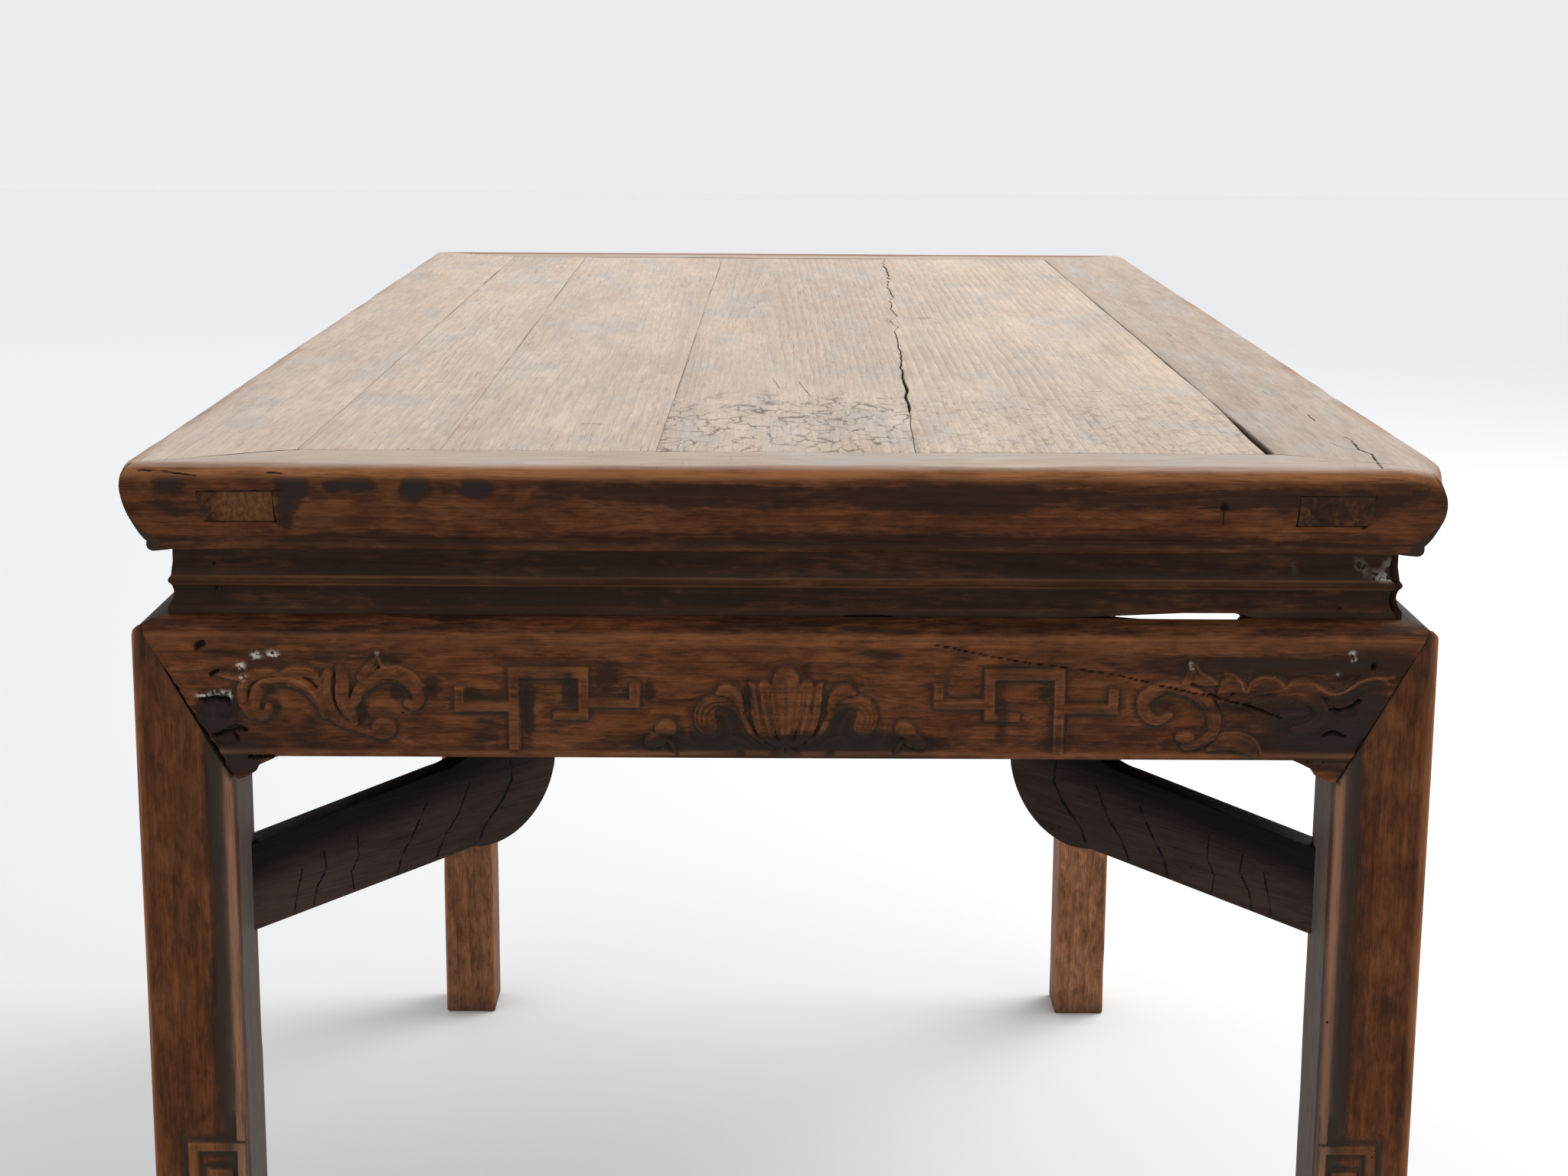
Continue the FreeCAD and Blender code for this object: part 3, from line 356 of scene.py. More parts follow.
def side_of(side, along, inward, height, half_width, half_length):
    """Moves local points onto one side of the table and into metres."""
    moved = {
        "front": (along, inward - half_length, height),
        "rear": (-along, half_length - inward, height),
        "left": (inward - half_width, -along, height),
        "right": (half_width - inward, along, height),
    }[side]
    return np.stack(np.broadcast_arrays(*moved), axis=-1) * MM


def grid_faces(rings, around, first):
    """Lists the faces of closed rings joined one to the next, then a cap for each end."""
    rows = np.arange(rings - 1)[:, None]
    columns = np.arange(around)[None, :]
    ahead = (columns + 1) % around
    corners = [rows * around + columns, rows * around + ahead,
               (rows + 1) * around + ahead, (rows + 1) * around + columns]
    quads = np.stack(np.broadcast_arrays(*corners), axis=-1).reshape(-1, 4) + first
    last = first + (rings - 1) * around
    return quads.tolist() + [list(range(first, first + around))[::-1],
                             list(range(last, last + around))]


def build_piece(name, parts, material, nodes, merge=0.0):
    """Makes a piece from (grid of points, marks, faces left open), and hangs it in the frame."""
    points, faces, first = [], [], 0
    marks = {mark: [] for mark in MARKS}
    for grid, given, holes in parts:
        rings, around = grid.shape[:2]
        part_faces = grid_faces(rings, around, first)
        if holes is not None:
            left_open = np.append(holes.reshape(-1), (False, False))
            part_faces = [face for face, gone in zip(part_faces, left_open) if not gone]
        points.append(grid.reshape(-1, 3))
        faces += part_faces
        for mark, values in marks.items():
            value = given.get(mark, 0.0)
            values.append(np.broadcast_to(value, (rings, around)).reshape(-1))
        first += rings * around
    mesh = bpy.data.meshes.new(name)
    mesh.from_pydata(np.concatenate(points), [], faces)
    put_marks(mesh, {mark: np.concatenate(values) for mark, values in marks.items()})
    with opened(mesh) as shape:
        if merge:
            bmesh.ops.remove_doubles(shape, verts=shape.verts, dist=merge)
        bmesh.ops.recalc_face_normals(shape, faces=shape.faces)
    smoothed(mesh, 50)
    hang(shown(name, mesh), material, nodes)


def hang(piece, material, nodes):
    """Gives a piece its wood and hands it to the frame."""
    piece.data.materials.clear()
    piece.data.materials.append(material)
    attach(piece, "root")
    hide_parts(*nodes)


def stations(half, step, marks=()):
    """Lists places along a timber from end to end, closer near the ends and at given marks."""
    places = set(np.round(np.linspace(-half, half, int(2 * half / step) + 1), 3))
    for gap in (0.0, 0.6, 1.6, 3.5):
        places |= {half - gap, gap - half}
    places |= set(marks)
    ordered = sorted(places)
    kept = [ordered[0]]
    for place in ordered[1:]:
        if place - kept[-1] > 0.25:
            kept.append(place)
        elif place in marks or place == ordered[-1]:
            kept[-1] = place
    return np.array(kept)


def stretched(places, half, end, from_where):
    """Lets the last stretch of each line of points end where the joint is."""
    outer = np.clip((np.abs(places) - from_where) / (half - from_where), 0, 1)
    run = np.where(np.abs(places) > from_where,
                   from_where + outer * (end - from_where), np.abs(places))
    return np.sign(places) * run


# The carving, as bands of (place from the middle, depth below the arris, half width)

LEFT_SCROLL = (
    ((-257.4, 46, 2.2), (-260.6, 37.5, 3.2), (-267.1, 30, 4), (-276.2, 25.4, 4.2),
     (-285.3, 25.4, 4.2), (-291.8, 28.6, 4), (-296, 34.6, 3.8), (-297, 41.6, 3.4),
     (-293.8, 46.2, 3.4), (-289.9, 45.1, 3.2), (-288.8, 41.7, 2.6)),
    ((-260.6, 26.5, 2.4), (-264.5, 22, 3), (-271, 20.2, 3.4), (-277.5, 21.5, 3.2),
     (-282, 24, 2.4)),
    ((-283, 23, 2.4), (-289.2, 21.6, 3.2), (-297, 23, 3.4), (-302.2, 27.5, 3.2),
     (-303.6, 34, 3), (-302.2, 41.1, 2.8), (-298.5, 46.5, 2.4)),
    ((-301, 24, 2.4), (-306, 24.6, 1.8), (-311, 23.9, 1.4), (-317.5, 22.7, 0.6)),
    ((-255.5, 22, 3), (-257.4, 30.1, 4), (-256.1, 39.5, 4.2), (-251.5, 46.8, 3.6),
     (-243.7, 52.2, 2.6), (-237.2, 54.8, 1.6)),
    ((-249, 18.6, 2), (-247.4, 26, 3.9), (-247.8, 35.4, 4), (-245.7, 43.4, 3.2),
     (-240.5, 50.1, 1.8)),
    ((-240.5, 50.1, 1.6), (-241.1, 41, 2.8), (-238.5, 32.6, 3.6), (-232, 25.8, 4.2),
     (-223.6, 22.3, 4.4), (-215.1, 23.4, 4.4), (-208.6, 28.4, 4.1), (-205.2, 35.1, 3.8),
     (-207.6, 39.9, 3.4), (-211, 38.8, 2.8)),
    ((-237, 24, 2.6), (-232.5, 18.8, 3), (-228.6, 14.6, 2.2), (-227.8, 10.6, 0.4)),
    ((-222.6, 18.8, 2.2), (-225.5, 15.8, 1.6), (-227.5, 11.4, 0.4)),
    ((-239.2, 53.5, 1.2), (-233.3, 55.6, 2), (-226.8, 57.2, 3), (-222.3, 55.2, 3.8),
     (-222.2, 51.4, 3.8), (-226, 50, 3.8), (-229, 52.6, 3)),
)
LEFT_VEINS = (
    ((-259.3, 44), (-265.8, 34.4), (-275.6, 28), (-284.7, 27.6), (-290.6, 31.6), (-293, 38.4)),
    ((-262.4, 34.6), (-270, 26.6), (-278, 23.6), (-286, 23.6), (-294.4, 26.4), (-299, 33),
     (-300, 40)),
    ((-252.2, 19.9), (-252.9, 31.4), (-250.9, 40.8), (-245, 48.7)),
    ((-257.6, 24), (-258.6, 33), (-255.4, 42), (-249, 49.4)),
    ((-238.9, 43.1), (-235.5, 33.2), (-229.4, 27.7), (-222.9, 24.9), (-215.8, 26.3),
     (-210.4, 31.8), (-208.6, 36.4)),
    ((-234, 23.4), (-226, 19.6), (-216, 20), (-207.6, 24.8)),
    ((-232.6, 22.6), (-229.4, 17.6), (-228, 13.4)),
)
RIGHT_SCROLL = (
    ((222, 30, 2.2), (212, 27.5, 3.2), (203.5, 32, 3.7), (200.5, 39, 3.7), (204, 45.3, 3.2),
     (210, 46.6, 2.8), (215, 43.5, 2.2)),
    ((213, 27, 2.4), (223, 28.7, 3.2), (232, 33.2, 3.8), (238.5, 40.5, 4), (240.6, 48, 3.8),
     (238.3, 55.5, 3.4), (232, 60.3, 3), (225, 61.6, 3)),
    ((221.6, 57, 3), (226, 57.6, 4)),
    ((238, 63.4, 1.6), (245, 60, 4.2), (253, 59.6, 5.2), (261, 62.6, 4), (264, 66, 2)),
    ((223.4, 25.5, 2.6), (226.6, 19.5, 2.8), (228, 13.2, 0.4)),
    ((229, 22.4, 3), (235, 24.4, 2.6), (241.4, 25.6, 0.8)),
    ((244.5, 31, 3.4), (247.6, 26.4, 4.4), (252.6, 26.4, 4.4), (256.2, 29.4, 3)),
    ((243.4, 35, 2.6), (252, 34.4, 3.6), (262, 31.6, 3.2), (272, 30, 3), (283, 30, 3),
     (292, 31, 3)),
    ((261, 28.4, 2.6), (267.6, 25.2, 3.4), (274.6, 25, 3.2), (279, 27.4, 2)),
    ((282, 27.4, 2.6), (289, 26, 3), (296, 28, 3), (303, 30.8, 2.6), (309.6, 31.4, 1.5)),
    ((290, 33, 3.6), (296, 35, 4.4), (300, 40, 4.4), (299, 46, 3.8), (293, 50.6, 3.5),
     (286, 51.8, 3.2)),
    ((262, 36, 2.2), (268, 33.6, 2.5), (278, 32, 3), (287, 33.5, 3.4)),
    ((305, 32.4, 2), (313, 28.6, 3.2), (322, 24.2, 3), (331, 22, 2.3), (340, 21.6, 1)),
)
RIGHT_VEINS = (
    ((292, 31.6), (298, 36), (300, 42), (296, 48)),
    ((284, 34), (291, 37.4), (293.4, 43), (290, 48.6)),
    ((225, 30.6), (233, 36), (237.4, 44), (236, 52.6), (230, 58.4)),
    ((310, 32), (320, 27.2), (330, 24.2), (338, 23)),
    ((244, 36.4), (256, 34.6), (266, 31.6), (280, 29.4)),
)
HALF_PALMETTE = (
    ((-8.6, 57, 3.2), (-11.3, 45, 4.4), (-12, 29.6, 4.6)),
    ((-12.4, 58.6, 1.8), (-15.6, 47, 3.2), (-17, 36, 3.4), (-18, 29.6, 2.6), (-20.4, 26.4, 1)),
    ((0, 61.8, 2.4), (-6.6, 60.6, 2.4), (-12, 57, 2)),
    ((-12.5, 61, 1.4), (-19, 55.6, 1.8), (-22.6, 49, 2), (-26.6, 42.4, 2.4), (-31.6, 38.2, 2.8),
     (-37.4, 37, 3.4), (-43, 38.8, 4.6), (-45.5, 44, 5.9), (-44.3, 50, 6.1), (-42.4, 52.6, 4.6)),
    ((-25.4, 41, 2.8), (-28.2, 33.8, 3.8), (-33, 30.4, 3.8), (-37.6, 31.8, 2)),
    ((-76, 61, 3.6), (-70.6, 59, 4.6)), ((-68.4, 53.4, 5), (-66, 52.4, 5)),
    ((-65.3, 60.2, 1.6), (-61.1, 66.1, 1.4)),
    ((-25.6, 66.8, 1.4), (-23.1, 68.8, 0.9)),
    ((-1, 64.4, 1.2), (-4.6, 66.4, 1.8), (-8.4, 68.8, 1)),
)
HALF_PALMETTE_VEINS = (
    ((-16.6, 26, 0.9), (-15.4, 34, 0.9), (-12.8, 46, 0.8), (-9.4, 58, 0.7)),
    ((-12, 27, 0.9), (-11, 35, 0.9), (-8.8, 47, 0.8), (-6, 58, 0.7)),
    ((-8, 22, 0.9), (-6.2, 32, 0.9), (-4.4, 46, 0.8), (-3, 58, 0.7)),
    ((-29, 36.4), (-38, 34.6), (-45, 35.9), (-49.2, 41), (-49.4, 48), (-46.6, 53.4)),
    ((-29, 38.6), (-37, 36.9), (-42.8, 38.2), (-46.6, 42.8), (-46.9, 48.6), (-44.4, 53)),
    ((-37, 39.4), (-41.2, 40.8), (-44, 44.4), (-44, 49.6), (-42, 52.6)),
    ((-27, 36), (-31.4, 31.6), (-36.4, 31.4)),
)
MIDDLE_FLUTE = (((0, 60, 3), (0, 50, 6.6), (0, 40, 9.6), (0, 33.5, 10.6)),
                ((0, 40, 7), (0, 24.6, 7.8)))
MIDDLE_VEIN = (((0, 59, 0.7), (0, 44, 0.8), (0, 26, 0.9)),)
# Bars of a fret as (left, right, top, bottom)
LEFT_FRET = (
    (-155.3, -148.7, 17.2, 66.2), (-155.3, -110.4, 17.7, 24.1), (-116.2, -109.9, 17.5, 48.2),
    (-130.5, -109.9, 43.2, 48.2), (-185.1, -152, 37.5, 43.6), (-185.4, -179.3, 28.5, 43.8),
    (-116.2, -81.5, 35.4, 40.8), (-87.6, -81.3, 26.2, 40.8),
)
FRET_MIDDLE = -133.0
# The fret where a leg's bead turns outward, as bars measured from the outer corner and the floor
LEG_FRET = (
    (20, 54, 434.5, 440.5), (20, 26, 398, 440.5), (20, 46, 398, 404), (40, 46, 398, 424),
    (31, 46, 418, 424), (48.8, 54, 440.5, 463), (48.8, 54, 373, 440.5),
)
CRACKS_FRONT = (
    ((81.7, 3.3, 0), (130.4, 13.3, 0), (177.1, 19.4, 0), (205.8, 25.7, 0.05),
     (233.2, 31.3, 0.15), (256.8, 37.6, 0.15), (278, 45.2, 0.05)),
    ((301.7, 55.3, 0.3), (306.7, 53.4, 0.7), (314.1, 55.6, 0.2)),
    ((304.2, 40.4, 0.2), (314.1, 39.5, 0.5), (321.6, 34.6, 0.7)),
    ((328.5, 14.7, 1.1), (328.6, 15.9, 1.1)),
    ((-326, 36.6, 0.7), (-318, 36, 1), (-311.6, 37.6, 1.2)),
    ((-320, 58, 0.7), (-313.3, 55.4, 1.2), (-308.1, 53.9, 1.4), (-302.2, 54.3, 0.9)),
    ((-309.4, 54.6, 0.7), (-307.6, 60.3, 0.5)),
    ((-327.7, 6.4, 1.5), (-324.6, 4.4, 1.7)),
    ((-320.6, 22.6, 0.8), (-317.2, 21, 0.7)),
    ((-301, 70.2, 0.5), (-287, 70.2, 0.7)),
    ((293.6, 71.4, 0.5), (316, 71.8, 0.7)),
)
CHIPS_FRONT = (
    ((-326, 41, 3.6), (-318, 42, 5), (-313, 44, 4.4)),
    ((-317, 61, 2.6), (-309, 60, 3)),
    ((309, 42, 1.6), (318, 42, 2)),
)
# Places where the old finish is darkest or lightest, as (place, depth, reach, reach, strength); on
# the front apron the long thin one at depth 15 under the right half of the arris is a painted shadow
# line
APRON_STAINS_AND_SHADOW = (
    (-318, 44, 14, 14, 0.9), (-306, 72, 14, 9, 0.9), (-300, 60, 22, 8, 0.35),
    (-289, 30, 5, 4, 0.5), (-285, 40, 4, 6, 0.4), (-262, 14, 60, 6, 0.3), (-265, 51, 9, 8, 0.4),
    (-237, 43, 4, 7, 0.7), (-217, 33, 4, 5, 0.6), (-197, 29, 5, 9, 0.6), (-218, 14, 8, 3, 0.4),
    (-200, 66, 180, 3, 0.3), (-175, 33, 5, 4, 0.4), (-165, 52, 9, 9, 0.35), (-144, 42, 4, 20, 0.7),
    (-121, 31, 4, 9, 0.7), (-128, 53, 8, 4, 0.3), (-101, 24, 8, 10, 0.35), (-76, 31, 3, 7, 0.5),
    (-100, 62, 30, 5, 0.25), (-40, 62, 40, 9, 0.8), (-31, 48, 6, 8, 0.8), (-21, 33, 3, 9, 0.5),
    (38, 62, 46, 9, 0.8), (31, 48, 6, 8, 0.8), (12, 19, 4, 6, 0.4), (120, 62, 60, 8, 0.2),
    (121, 42, 4, 16, 0.5), (145, 30, 4, 8, 0.5), (212, 36, 8, 7, 0.3), (285, 44, 16, 8, 0.4),
    (262, 15, 80, 7, 0.6), (322, 36, 26, 22, 0.65), (305, 60, 30, 14, 0.7), (335, 8, 16, 9, 0.3),
    (268, 42, 34, 26, 0.42), (-65, 10, 22, 3, 0.35), (48, 9, 14, 3, 0.35), (0, 4, 150, 3, -0.1),
    (-190, 16, 40, 10, -0.2), (-64, 30, 12, 13, -0.3), (-60, 24, 30, 6, -0.1),
    (75, 34, 26, 12, -0.25), (-222, 62, 12, 5, -0.2), (-344, 30, 12, 30, -0.1),
)
PAINT_FRONT = (
    (-295.1, 11.5, 2.6, 2, 1), (-286, 11, 3.4, 2.2, 1), (-304, 17.6, 2.4, 2.2, 1),
    (-302.4, 24, 2, 1.6, 0.9), (-325, 34.6, 4, 0.9, 1), (-316.5, 32.8, 4, 1, 1),
    (-310.6, 35, 1.1, 2.4, 0.9), (316, 7.2, 1.8, 1.2, 0.8), (317, 11, 1.2, 1.4, 0.9),
    (307.9, 19.9, 1.4, 1.2, 0.35), (226.5, 15, 1.2, 2, 0.6), (-228, 10, 1.2, 1.2, 0.4),
)
RAIL_STAINS = (
    (-338, 830, 6, 6, 1.2), (-346, 816.5, 9, 2.5, 0.5), (-333, 813.5, 8, 2.5, 0.5),
    (-318, 815, 6, 9, 0.3), (-271, 829, 8, 8, 1.3), (-275, 812, 5, 9, 0.9),
    (-250, 828, 4, 3, 0.9), (-236, 829, 9, 5, 1.0), (-205, 828, 8, 7, 1.1), (-188, 826, 4, 5, 0.4),
    (-171, 827, 9, 6, 0.9), (-130, 829, 22, 5, 0.35), (-50, 827, 50, 5, 0.3),
    (110, 823, 200, 6.5, 0.42), (290, 823, 60, 6, 0.3), (-255, 812, 16, 7, -0.4),
    (-60, 808, 330, 6.5, -0.3), (200, 808, 90, 6, -0.15), (0, 796, 400, 7, 0.35),
    (345, 815, 12, 14, -0.3), (-353, 829, 4, 8, -0.5),
)
# Brown places of the top as (across, along, reach, reach, strength)
BOARD_PATCHES = (
    (81, -514, 6, 16, 0.3), (-192, -386, 4, 7, 0.4), (-191, -506, 4, 6, 0.4), (88, 40, 4, 22, 0.35),
    (246, -150, 5, 60, 0.3), (120, 60, 6, 8, 0.4), (0, 578, 280, 5, 0.35), (84, -260, 5, 30, 0.25),
)
RAIL_PALE = ((-353, 828, 4, 7, 0.8), (-256, 813, 14, 5, 0.35), (-217, 819, 9, 4, 0.3),
             (-186, 819, 8, 4, 0.3))
WAIST_PAINT = ((287, 779, 1.6, 2.6, 0.9), (325, 782, 1.6, 2, 0.8), (330, 776, 5, 1.8, 1),
               (338, 774, 4, 1.8, 1), (340, 779, 1, 4, 0.5))
# Nail holes, worm holes and fine cracks as (face, half width, points)
WAIST_LINES = (
    ("front", 1, ((-321, 779.5),)), ("front", 0.9, ((-320, 765.4),)),
    ("front", 0.7, ((-317, 765.4),)), ("front", 0.8, ((312, 757),)),
)
RAIL_LINES = (
    ("front", 2.4, ((240.8, 818.4),)), ("front", 0.4, ((240.8, 816), (241.2, 808))),
    ("front", 0.3, ((239, 818.6), (226, 817.4))), ("front", 1.2, ((319.4, 806.5),)),
    ("front", 0.5, ((-356, 836.4), (-340, 835.8), (-324, 833.5))),
    ("front", 0.5, ((-322, 824.6), (-278, 825.6))),
    ("front", 0.5, ((-285, 835.6), (-277, 835))),
    ("top", 0.5, ((328.6, -436), (327.2, -465))),
    ("top", 0.8, ((331.5, -522), (333, -532), (329.7, -567), (333.3, -580), (330.5, -602),
                  (328, -626))),
    ("top", 0.3, ((329.7, -567), (322, -560), (318, -540))),
)
BOARD_LINES = (
    (("top", 1.6, ((-192, -386),)), ("top", 1.4, ((-191, -506),)),
     ("top", 0.5, ((-236, -319), (-227, -319))),
     ("top", 0.9, ((-190.6, -392), (-189.6, -402), (-191.6, -414))),
     ("top", 0.8, ((-191, -440), (-190.4, -470), (-192, -500), (-191.4, -566)))),
    (("top", 0.7, ((-123.5, -487), (-118, -486), (-112, -488))),),
    (("top", 0.3, ((-8, -289), (-3, -338))), ("top", 0.3, ((10, -306), (17, -369)))),
    (("top", 0.5, ((203, -347), (211, -347))), ("top", 0.5, ((150, -420), (156, -422))),
     ("top", 1.3, ((118, 60),)), ("top", 1.1, ((170, -180),))),
)
# Painted highlights along the upper edges of the carving, partly rubbed wear, as (place, depth)
LIT_AND_RUBBED_EDGES = (
    ((-228.6, 10), (-226, 14), (-224, 17.6), (-216, 18), (-208, 22), (-202.6, 29)),
    ((-299, 31), (-293, 26), (-285, 24), (-276, 24.4), (-268, 28), (-262, 35)),
    ((229, 14.5), (232, 19.5), (237, 22), (241.5, 25)),
    ((245.5, 20), (250, 20.6), (254, 24), (256.5, 29.5)),
    ((258, 30), (260, 25.5), (266, 22), (272, 21.6), (276, 23.5), (279, 27.5)),
    ((280, 27), (284, 24), (290, 22.8), (295, 24.5), (300, 28.5), (306, 30.6), (313, 29.5)),
    ((240, 58), (246, 54.5), (253, 54), (260, 56), (265, 60), (267.5, 66)),
    ((204, 27), (198, 33), (197.6, 41), (202, 47.6), (209, 48.6)),
    ((313, 29), (320, 24), (328, 21.4), (335, 22.5), (338, 26)),
)


def lines_near(x, depth, table):
    """A mask of thin lines over a face, from the points of each line."""
    mask = np.zeros(x.shape)
    for line in table:
        mask = np.maximum(mask, eased(-nearest(x, depth, line, 3), -0.5, 0.35))
    return mask


def blots(first, second, table):
    """Adds up soft spots, given as (place, place, reach, reach, strength)."""
    total = np.zeros(np.broadcast(first, second).shape)
    for a, b, reach_a, reach_b, strength in table:
        total += strength * np.exp(-(((first - a) / reach_a) ** 2
                                     + ((second - b) / reach_b) ** 2) ** 1.3)
    return total


def flipped(bands):
    """The same bands on the other side of the middle."""
    return tuple(tuple((-point[0],) + point[1:] for point in band) for band in bands)


def shifted(bands, move):
    """The same bands further along."""
    return tuple(tuple((point[0] + move,) + point[1:] for point in band) for band in bands)


def curve_through(band):
    """Points of a smooth curve through a band's marks, a quarter of a millimetre apart."""
    marks = np.array([(point + (0.45,))[:3] for point in band], float)
    padded = np.vstack([2 * marks[0] - marks[1], marks, 2 * marks[-1] - marks[-2]])
    run = []
    for a, b, c, d in zip(padded, padded[1:], padded[2:], padded[3:]):
        count = max(2, int(np.hypot(*(c - b)[:2]) / 0.25))
        share = np.arange(count)[:, None] / count
        run.append(0.5 * (2 * b + (c - a) * share + (2 * a - 5 * b + 4 * c - d) * share ** 2
                          + (3 * b - a - 3 * c + d) * share ** 3))
    run.append(marks[-1:])
    return np.vstack(run)


def nearest(x, depth, band, margin):
    """Distance of each face point from the edge of a band, below zero inside it."""
    curve = curve_through(band)
    low, high = curve.min(axis=0) - margin, curve.max(axis=0) + margin
    inside = (x > low[0]) & (x < high[0]) & (depth > low[1]) & (depth < high[1])
    gap = np.full(x.shape, 1e3)
    if inside.any():
        offset = np.hypot(x[inside][:, None] - curve[:, 0], depth[inside][:, None] - curve[:, 1])
        gap[inside] = (offset - curve[:, 2]).min(axis=1)
    return gap


def carved(x, depth, bands, bars, veins, cracks, chips=()):
    """A carved face: its height, distance from the carving, open cracks, and uncracked height."""
    settings = sizes()
    rise, crown = settings.relief_rise / MM, settings.relief_crown / MM
    edge, barred = np.full(x.shape, 1e3), np.zeros(x.shape, bool)
    for band in bands:
        edge = np.minimum(edge, nearest(x, depth, band, 16))
    for left, right, top, foot in bars:
        beside = np.abs(x - (left + right) / 2) - (right - left) / 2
        below = np.abs(depth - (top + foot) / 2) - (foot - top) / 2
        gap = np.where((beside > 0) & (below > 0), np.hypot(beside, below),
                       np.maximum(beside, below))
        barred |= gap < np.minimum(edge, 0)
        edge = np.minimum(edge, gap)
    share = eased(-edge, -0.55, 0.55)
    inside = np.clip(-edge, 0, 10)
    dome = crown * (1 - np.exp(-inside / 1.6))
    groove = np.where(barred, 0.55 * eased(inside, 0.9, 2.2),
                      0.45 * np.exp(-((inside - 1.7) / 0.45) ** 2))
    ground = -settings.ground_sink / MM * np.exp(
        -(np.maximum(edge, 0) / (settings.ground_reach / MM)) ** 1.3)
    height = share * (rise + dome - groove) + (1 - share) * ground
    for vein in veins:
        height -= 0.7 * eased(-nearest(x, depth, vein, 3), -0.6, 0.4) * share
    relief = height.copy()
    for chip in chips:
        ragged = depth + 0.8 * ripple(x, 3.0, 8)
        height -= 1.6 * eased(-nearest(x, ragged, chip, 3), -0.5, 0.5)
    slit = np.zeros(x.shape)
    for crack in cracks:
        ragged = depth + 0.35 * ripple(x + depth, 4.0, 5)
        slit = np.maximum(slit, eased(-nearest(x, ragged, crack, 3), -0.45, 0.35))
    height -= slit * settings.crack_depth / MM
    return height, edge, slit, relief


def blurred(field, rounds):
    """Spreads a field of numbers over its neighbours."""
    for _ in range(rounds):
        for axis in (0, 1):
            padded = np.pad(field, [(1, 1) if k == axis else (0, 0) for k in (0, 1)], "edge")
            first = padded[:-2] if axis == 0 else padded[:, :-2]
            last = padded[2:] if axis == 0 else padded[:, 2:]
            field = field * 0.5 + (first + last) * 0.25
    return field


# Materials

def new_node(tree, kind, inputs=None, **settings):
    """Adds a node; an input may be a plain value or another node's socket."""
    node = tree.nodes.new(kind)
    for key, value in settings.items():
        setattr(node, key, value)
    for key, value in (inputs or {}).items():
        socket = node.inputs[key]
        if isinstance(value, bpy.types.NodeSocket):
            tree.links.new(value, socket)
        else:
            socket.default_value = value
    return node


def sum_of(tree, operation, first, second=None, third=None, clamp=False):
    """A Math node on sockets or plain numbers."""
    values = {k: v for k, v in enumerate((first, second, third)) if v is not None}
    return new_node(tree, "ShaderNodeMath", values, operation=operation, use_clamp=clamp).outputs[0]


def times(tree, first, second, clamp=False):
    """One value times another."""
    return sum_of(tree, "MULTIPLY", first, second, clamp=clamp)


def scaled(tree, value, by, plus, clamp=False):
    """A value times a second, plus a third."""
    return sum_of(tree, "MULTIPLY_ADD", value, by, plus, clamp)


def vector_math(tree, operation, *values):
    """A VectorMath node on sockets or plain vectors; gives its vector, or its number."""
    node = new_node(tree, "ShaderNodeVectorMath", dict(enumerate(values)), operation=operation)
    return node.outputs["Value" if operation in ("DOT_PRODUCT", "DISTANCE", "LENGTH") else "Vector"]


def mixed(tree, share, first, second, blend="MIX"):
    """A colour mix of two colours or sockets."""
    node = tree.nodes.new("ShaderNodeMix")
    node.data_type = "RGBA"
    node.blend_type = blend
    for key, value in ((0, share), (6, first), (7, second)):
        if isinstance(value, bpy.types.NodeSocket):
            tree.links.new(value, node.inputs[key])
        else:
            node.inputs[key].default_value = value
    return node.outputs[2]


def ramp(tree, value, stops, interpolation="LINEAR"):
    """A ColorRamp that turns a value into a grey mask, from (place, grey) stops."""
    node = new_node(tree, "ShaderNodeValToRGB", {0: value})
    node.color_ramp.interpolation = interpolation
    elements = node.color_ramp.elements
    while len(elements) < len(stops):
        elements.new(0.5)
    for element, (place, grey) in zip(elements, stops):
        element.position = place
        element.color = (grey, grey, grey, 1)
    return node.outputs[0]


def stretched_noise(tree, vector, scales, detail=3, rough=0.55, distortion=0):
    """Noise on a vector scaled differently along each axis."""
    return new_node(tree, "ShaderNodeTexNoise", {
        "Vector": vector_math(tree, "MULTIPLY", vector, scales), "Scale": 1, "Detail": detail,
        "Roughness": rough, "Distortion": distortion}).outputs["Fac"]


def noise_mask(tree, vector, scales, stops, *noise):
    """A grey mask: stretched noise through a ramp of (place, grey) stops."""
    return ramp(tree, stretched_noise(tree, vector, scales, *noise), stops)


def shader_group(name, inputs, outputs):
    """A new shader group with its sockets; gives the tree and its two end nodes."""
    tree = bpy.data.node_groups.new(name, "ShaderNodeTree")
    for label, kind, value in inputs:
        socket = tree.interface.new_socket(name=label, in_out="INPUT", socket_type=kind)
        if value is not None:
            socket.default_value = value
    for label, kind in outputs:
        tree.interface.new_socket(name=label, in_out="OUTPUT", socket_type=kind)
    return tree, tree.nodes.new("NodeGroupInput"), tree.nodes.new("NodeGroupOutput")


def give_out(tree, sink, **values):
    """Links values to the outputs of a group, each by its name."""
    for name, value in values.items():
        tree.links.new(value, sink.inputs[name])


